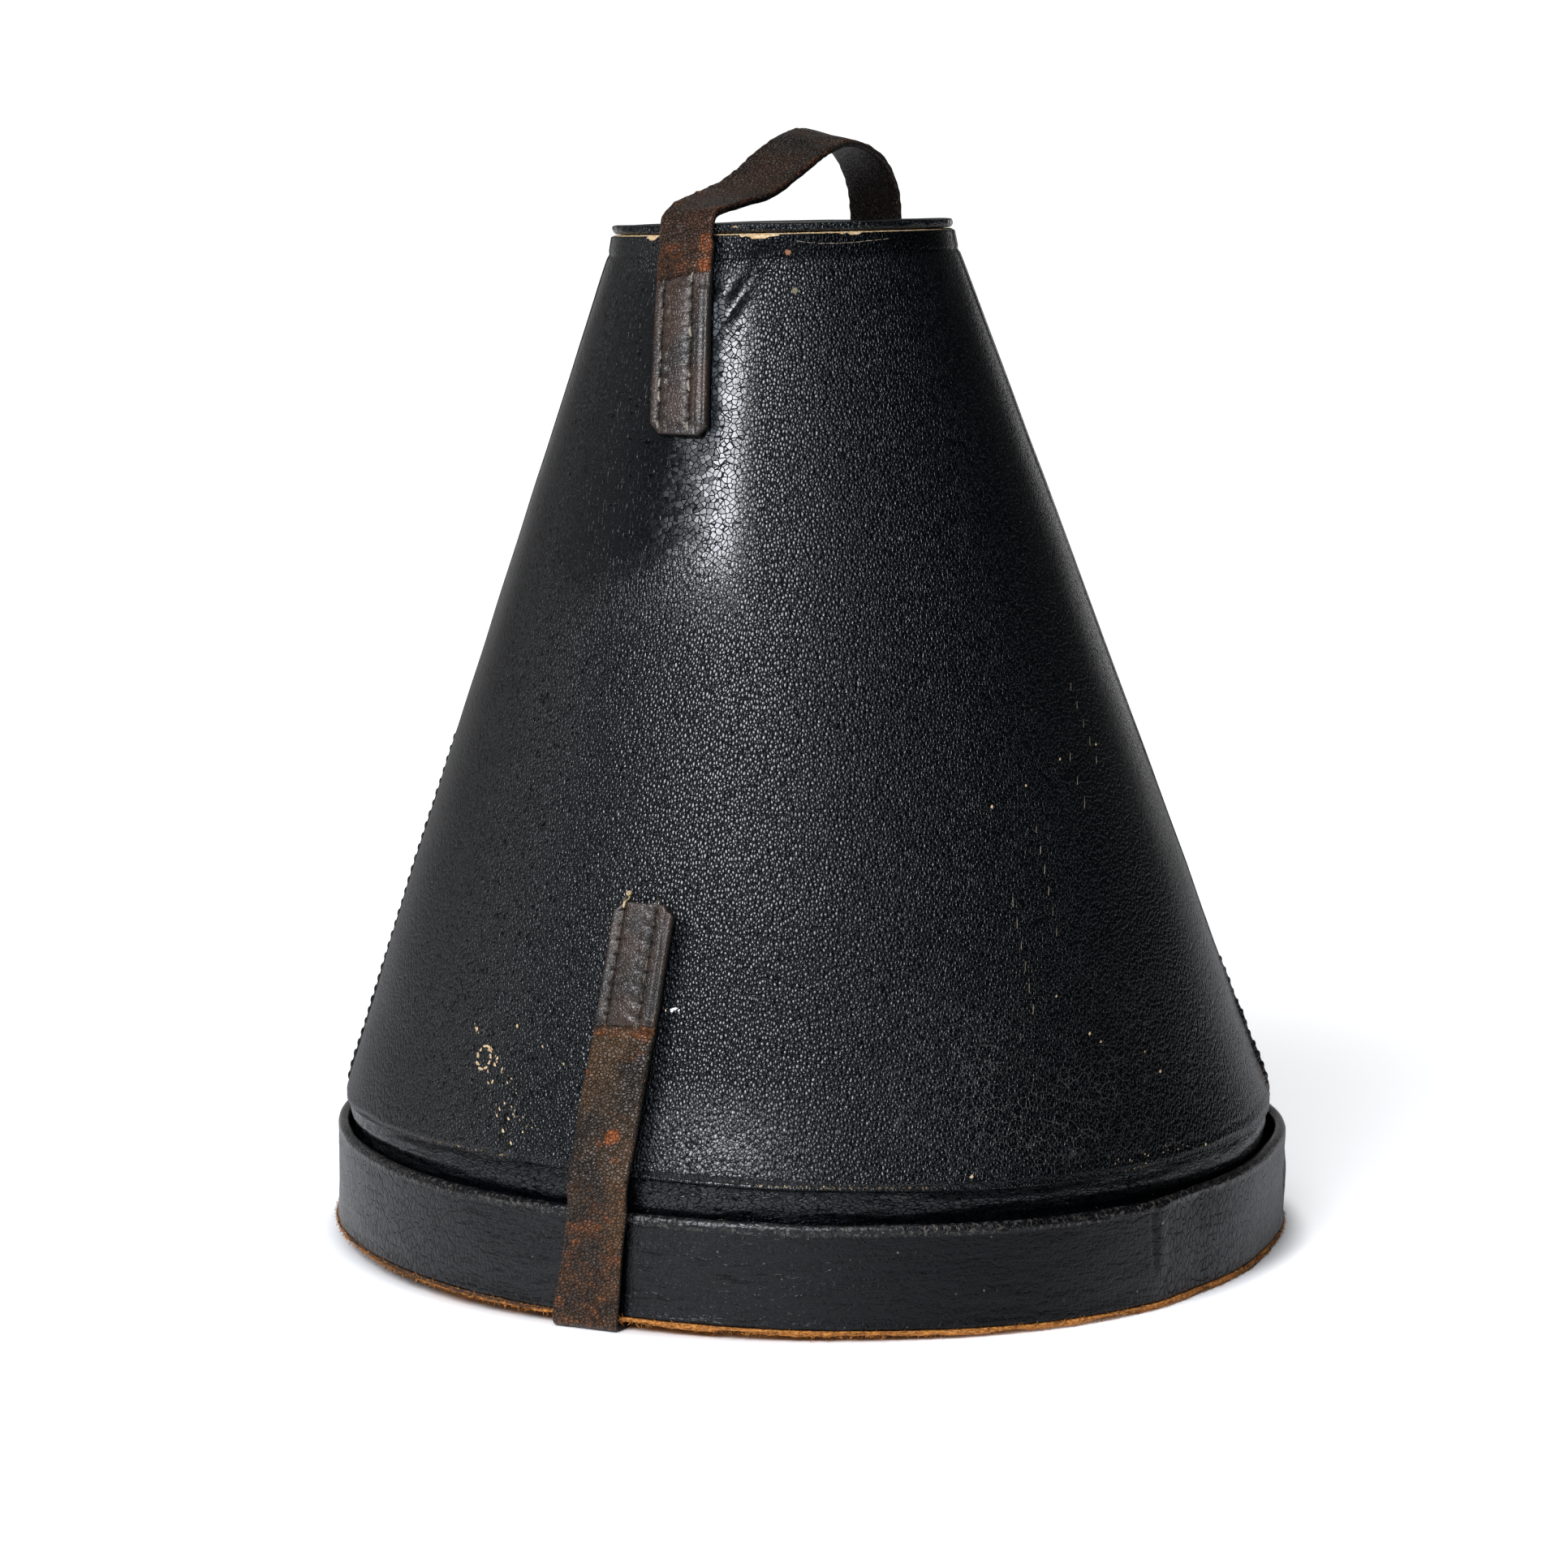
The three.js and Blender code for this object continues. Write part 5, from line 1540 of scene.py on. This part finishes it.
def flecks():
    draw = np.random.default_rng(81)
    rows = []   # azimuth, height, half length, half width, slant from upright, shade

    def line(start, end, width, shade):
        start, end = np.array(start, float), np.array(end, float)
        span = np.array([rad(end[0] - start[0]) * float(coneRadius(start[1])), end[1] - start[1]])
        pieces = max(2, int(np.hypot(*span) / 6))
        slant = math.degrees(math.atan2(span[0], span[1]))
        for k in range(pieces):
            spot = start + (end - start) * (k + 0.5) / pieces
            rows.append((*spot, np.hypot(*span) / pieces * draw.uniform(0.38, 0.56),
                         width * draw.uniform(0.6, 1.2), slant, shade))

    def spread(zone, stray):
        start, end, count = zone
        start, end = np.array(start, float), np.array(end, float)
        return [start + (end - start) * share + draw.uniform(-1, 1, 2) * stray
                for share in np.linspace(0, 1, count)]

    azimuth, height, radius = fleckLook["flake"]
    for turn in np.radians([5, 38, 75, 108, 150, 182, 222, 262, 300, 335]):
        spot = (azimuth + math.degrees(radius * 0.78 * math.cos(turn) / float(coneRadius(height))),
                height + radius * math.sin(turn))
        rows.append((*spot, draw.uniform(1.1, 1.8), draw.uniform(0.42, 0.70), -math.degrees(turn), 0.55))
    for zone in fleckLook["lifted"]:
        for azimuth, height in spread(zone, fleckLook["liftedStray"]):
            size = draw.uniform(*fleckLook["liftedSize"])
            rows.append((azimuth, height, size * 0.85, size * draw.uniform(0.28, 0.42),
                         draw.uniform(-35, 25), 0.55))
    for start, end, count in fleckLook["scattered"]:
        for share in np.linspace(0, 1, count):
            spot = np.array(start) + (np.array(end) - start) * share + draw.uniform(-1, 1, 2) * (1.3, 1.6)
            low = spot[1] < 53
            rows.append((spot[0], max(spot[1], footHeight + 1.4),
                         draw.uniform(0.3, 0.8) * (0.7 if low else 1),
                         draw.uniform(0.16, 0.30), draw.uniform(-50, 50), draw.uniform(0.26, 0.46)))
    for zone in fleckLook["specks"]:
        for azimuth, height in spread(zone, fleckLook["speckStray"]):
            size = draw.uniform(*fleckLook["speckSize"])
            height = max(height, footHeight + 1.4)
            rows.append((azimuth, height, size * 0.75, size * 0.45, draw.uniform(-30, 30), 0.55))
    for zone in fleckLook["scratches"]:
        for azimuth, height in spread(zone, fleckLook["speckStray"]):
            half = draw.uniform(*fleckLook["scratchLength"]) / 2
            lean = draw.uniform(-1, 1) * fleckLook["scratchLean"] / 2
            line((azimuth - lean, height + half), (azimuth + lean, height - half), 0.14, 0.30)
    crack = fleckLook["topCrack"]
    turns = np.linspace(crack["from"], crack["to"], crack["parts"] + 1)
    heights = crack["height"] + crack["wander"] * draw.uniform(-1, 1, len(turns))
    for k in range(crack["parts"]):
        line((turns[k], heights[k]), (turns[k + 1], heights[k + 1]), 0.13, 0.30)
    azimuth, height = fleckLook["chip"]
    rows.extend([(azimuth, height, 1.5, 0.5, 74, 0.92), (azimuth - 0.2, height - 0.7, 1.0, 0.45, 20, 1.0)])
    rows.extend([(azimuth + 0.7, height - 0.4, 0.7, 0.3, 40, 0.8),
                 (azimuth - 1.0, height - 0.6, 0.5, 0.25, 5, 0.6)])
    azimuths, heights, halfLength, halfWidth, slant, shade = np.array(rows, float).T
    low, high, upper = (conePoint(azimuths, heights), conePoint(azimuths, heights, 1.0),
                        conePoint(azimuths, heights + 0.5))
    outwards = (high - low) * 1000
    upwards = (upper - low) / np.linalg.norm(upper - low, axis=1)[:, None]
    sideways = np.cross(upwards, outwards)
    turn = np.radians(slant)[:, None]
    size = np.stack([halfLength, halfWidth, np.minimum(0.10, halfWidth * 0.5)], -1) / 1000
    more = {"along": upwards * np.cos(turn) + sideways * np.sin(turn), "size": size, "shade": shade}
    f = Finish("fleckPaint", 0.0, 0.3)
    shadeNow = f.stored("shade")
    dust, cream, white = fleckLook["shades"]
    mottled = f.noise(f.place(), 1300, 3.0, 0.6)
    colour = f.mix(f.between(shadeNow, 0.2, 0.5), dust,
                   f.mix(f.between(mottled, 0.35, 0.6), (0.30, 0.19, 0.09), cream))
    colour = f.mix(f.between(shadeNow, 0.6, 0.95), colour, white)
    material = f.finish(colour, 0.8, f.relief(mottled, 0.0002))
    source = lineMesh("leather_flecks_spots", [low], [outwards], False, more)
    piece = made("leather_flecks", source, fleckTree(), {"Material": material})
    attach(piece, "root")


# The stud at the back.
studLook = {"neck": 2.3, "head": 4.8, "flange": 0.8, "sides": 48, "brass": (0.42, 0.27, 0.10),
            "tarnish": (0.06, 0.042, 0.022)}


def rearStud():
    neck, head, flange = studLook["neck"], studLook["head"], studLook["flange"]
    top = flange + caseForm["strapThickness"] + 2 * gap
    profile = [(head - 0.1, 0.0), (head, 0.1), (head, flange - 0.25), (head - 0.15, flange - 0.12),
               (neck + 0.3, flange), (neck, flange + 0.2)]
    profile += [(neck, top - 0.2), (neck + 0.25, top), (head - 0.3, top + 0.32), (head - 0.05, top + 0.55),
                (head, top + 0.9)]
    profile += [(head * math.cos(a), top + 1.3 + 1.7 * math.sin(a))
                for a in np.radians([6, 18, 32, 46, 60, 74, 84])]
    radii, heights = (np.array(v, float) for v in zip(*profile))
    turn = np.linspace(0, 2 * math.pi, studLook["sides"] + 1)[:-1]
    x, y = radii[:, None] * np.cos(turn), radii[:, None] * np.sin(turn)
    seat = onCone(closingLook["studHeight"], -1, -caseForm["strapThickness"] / 2)
    slope = float(coneRadius(closingLook["studHeight"] - 1) - coneRadius(closingLook["studHeight"] + 1)) / 2
    tilt = math.atan(slope)
    azimuth = caseForm["closingAzimuth"]
    out, across = -towardsAzimuth(azimuth), np.array([math.cos(rad(azimuth)), math.sin(rad(azimuth)), 0])
    up = np.array([0, 0, 1.0])
    normal = out * math.cos(tilt) + up * math.sin(tilt)
    upwards = up * math.cos(tilt) - out * math.sin(tilt)
    base = -seat[0] * out + seat[1] * up

    def stand(x, y, z):
        return base + x[..., None] * across + y[..., None] * upwards + z[..., None] * normal

    grid = stand(x, y, np.broadcast_to(heights[:, None], x.shape))
    zero = np.zeros(2)
    ends = stand(zero, zero, np.array([0.0, top + 3.0]))
    piece = cappedSolid("brass_stud", inPlace(aged(grid)), inPlace(aged(ends)), {}, {})
    f = Finish("agedBrass", 1.0, 0.5)
    place = f.place()
    dirt = f.between(f.noise(place, 620, 4.0, 0.65), 0.42, 0.62)
    roughness = f.between(f.noise(place, 1800, 3.0), 0.3, 0.7, (0.26, 0.46))
    piece.data.materials.append(f.finish(f.mix(dirt, studLook["brass"], studLook["tarnish"]), roughness,
                                         f.relief(f.noise(place, 1500, 3.0, 0.6), 0.00005)))
    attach(piece, "root")
    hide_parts("rear_stud")


# The scene.
cameraPlace = {
    "azimuth": 32.0,        # degrees round from the front
    "distance": 1.521,
    "aside": -0.0087,
    "height": 0.3638,
    "pitch": 7.57,
    "lens": 96.9,
}


def camera():
    data = bpy.data.cameras.new("camera")
    data.lens = cameraPlace["lens"]
    data.sensor_width = 36
    data.clip_end = 50
    made = bpy.data.objects.new("camera", data)
    scene.collection.objects.link(made)
    turn = rad(cameraPlace["azimuth"])
    away = np.array([-math.sin(turn), math.cos(turn), 0])
    right = np.array([math.cos(turn), math.sin(turn), 0])
    spot = (-away * cameraPlace["distance"] + right * cameraPlace["aside"]
            + np.array([0, 0, cameraPlace["height"]]))
    made.location = Vector(spot) + Vector(originShift / 1000)
    made.rotation_euler = (rad(90 - cameraPlace["pitch"]), 0, turn)
    scene.camera = made


def softbox(name, azimuth, elevation, distance, size, power, aim=(0, 0, 0.15), colour=(0.95, 0.98, 1.04)):
    data = bpy.data.lights.new(name, "AREA")
    data.shape = "RECTANGLE"
    data.size, data.size_y = size
    data.energy = power
    data.color = colour
    made = bpy.data.objects.new(name, data)
    scene.collection.objects.link(made)
    direction = (Vector(towardsAzimuth(azimuth)) * math.cos(rad(elevation))
                 + Vector((0, 0, math.sin(rad(elevation)))))
    made.location = Vector(aim) + direction * distance
    made.rotation_euler = direction.to_track_quat("Z", "Y").to_euler()


studioLight = {
    "floorGlow": (0.0, 0.55, 1.0),   # under the case, beside it, far away; dimmer under and near the case as a painted contact shadow
    "inLeather": (0.22, 0.11),       # share of the floor's glow that shiny leather mirrors: front, right
    "nearRight": 0.35,               # of that, close to the case on the right
    "horizon": 1.08,          # how bright the pale backdrop is
    "backAzimuth": 212.0,
    "room": 0.015,            # the dark room that the leather mirrors elsewhere
    "leftFill": 0.20,
    "leftAzimuth": -105.0,
    "wide": {"azimuth": 12, "elevation": 37, "distance": 2.2, "size": (2.6, 1.2), "power": 22},
    "key": {"azimuth": 10, "elevation": 37, "distance": 2.15, "size": (1.3, 1.1), "power": 29},
    "strip": {"azimuth": 2, "elevation": 35, "distance": 2.1, "size": (0.35, 0.9), "power": 16},
    "top": {"azimuth": 60, "elevation": 84, "distance": 2.6, "size": (1.6, 1.6), "power": 10},
}


def backdrop():
    world = bpy.data.worlds.new("studio")
    scene.world = world
    world.use_nodes = True
    nodes, links = world.node_tree.nodes, world.node_tree.links
    nodes.clear()
    out, back = nodes.new("ShaderNodeOutputWorld"), nodes.new("ShaderNodeBackground")
    where, split = nodes.new("ShaderNodeTexCoord"), nodes.new("ShaderNodeSeparateXYZ")
    links.new(where.outputs["Generated"], split.inputs[0])
    ways = []
    for azimuth in (studioLight["leftAzimuth"], studioLight["backAzimuth"]):
        side = nodes.new("ShaderNodeVectorMath")
        side.operation = "DOT_PRODUCT"
        side.inputs[1].default_value = tuple(towardsAzimuth(azimuth))
        links.new(where.outputs["Generated"], side.inputs[0])
        ways.append(side.outputs["Value"])

    def ramp(source, fromLow, fromHigh, toLow, toHigh):
        made = nodes.new("ShaderNodeMapRange")
        made.interpolation_type = "SMOOTHSTEP"
        for key, value in zip(("From Min", "From Max", "To Min", "To Max"),
                              (fromLow, fromHigh, toLow, toHigh)):
            made.inputs[key].default_value = value
        links.new(source, made.inputs["Value"])
        return made.outputs["Result"]

    fill = ramp(ways[0], 0.1, 0.7, studioLight["room"], studioLight["leftFill"])
    low = ramp(split.outputs["Z"], 0.055, 0.12, 1.0, 0.0)
    white = ramp(ways[1], 0.88, 0.98, 0.0, 1.0)
    both = nodes.new("ShaderNodeMath")
    both.operation = "MULTIPLY"
    links.new(low, both.inputs[0])
    links.new(white, both.inputs[1])
    blend = nodes.new("ShaderNodeMix")
    blend.inputs["B"].default_value = studioLight["horizon"]
    links.new(both.outputs[0], blend.inputs["Factor"])
    links.new(fill, blend.inputs["A"])
    back.inputs["Color"].default_value = (1, 1, 1, 1)
    path, shown = nodes.new("ShaderNodeLightPath"), nodes.new("ShaderNodeMix")   # seen pale from every side
    shown.inputs["B"].default_value = studioLight["horizon"]
    links.new(path.outputs["Is Camera Ray"], shown.inputs["Factor"])
    links.new(blend.outputs["Result"], shown.inputs["A"])
    links.new(shown.outputs["Result"], back.inputs["Strength"])
    links.new(back.outputs[0], out.inputs[0])


def studio():
    reach = 3.0
    floorMesh = bpy.data.meshes.new("studio_floor")
    floorMesh.from_pydata([(-reach, -reach, 0), (reach, -reach, 0), (reach, reach, 0), (-reach, reach, 0)],
                          [], [(0, 1, 2, 3)])
    floor = bpy.data.objects.new("studio_floor", floorMesh)
    scene.collection.objects.link(floor)
    f = Finish("studioFloor", 0.0, 0.2)
    shade = f.between(f.noise(f.place(), 3.0), 0.3, 0.7, (0.86, 0.90))
    paint = f.node("CombineColor")
    for socket in paint.inputs[:3]:
        f.feed(socket, shade)
    under, beside, far = studioLight["floorGlow"]
    away = f.node("VectorMath", operation="LENGTH")
    f.feed(away.inputs[0], f.place())
    # the floor's glow is dimmed under and near the case: a painted contact shadow
    glow = f.plus(f.between(away.outputs["Value"], 0.171, 0.186, (under, beside)),
                  f.between(away.outputs["Value"], 0.25, 0.9, (0.0, far - beside)))
    f.shader.inputs["Emission Color"].default_value = (1, 1, 1, 1)
    path = f.node("LightPath")
    way, right = f.node("VectorMath", operation="NORMALIZE"), f.node("VectorMath", operation="DOT_PRODUCT")
    f.feed(way.inputs[0], f.place())
    f.feed(right.inputs[0], way.outputs["Vector"])
    right.inputs[1].default_value = tuple(towardsAzimuth(105))
    mirrored = f.between(right.outputs["Value"], 0.35, 0.75, studioLight["inLeather"])
    near = f.mix(f.between(right.outputs["Value"], 0.35, 0.75), 1.0,
                 f.between(away.outputs["Value"], 0.25, 0.8, (studioLight["nearRight"], 1.0)))
    mirrored = f.times(mirrored, near)
    glow = f.times(glow, f.mix(path.outputs["Is Glossy Ray"], 1.0, mirrored))
    f.feed(f.shader.inputs["Emission Strength"], glow)
    floorMesh.materials.append(f.finish(paint.outputs[0], 0.7))
    backdrop()
    for name in ("wide", "key", "strip", "top"):
        softbox(name + "Light", **studioLight[name])
    scene.view_settings.view_transform = "Standard"
    scene.view_settings.look = "None"


camera()
studio()
print("studio done")
coneCover()
topDisc()
collarBand()
print("cone done")
trayWall()
rawMaterial = rawLeather()
trayFloor(rawMaterial)
frayedEdge(rawMaterial)
print("tray done")
handlePath = handleStrap()
closingPath, closingSewn = closingStrap()
rearStud()
print("straps done")
sewing(handlePath, closingPath, closingSewn)
knot(closingPath)
flecks()
print("sewing done")
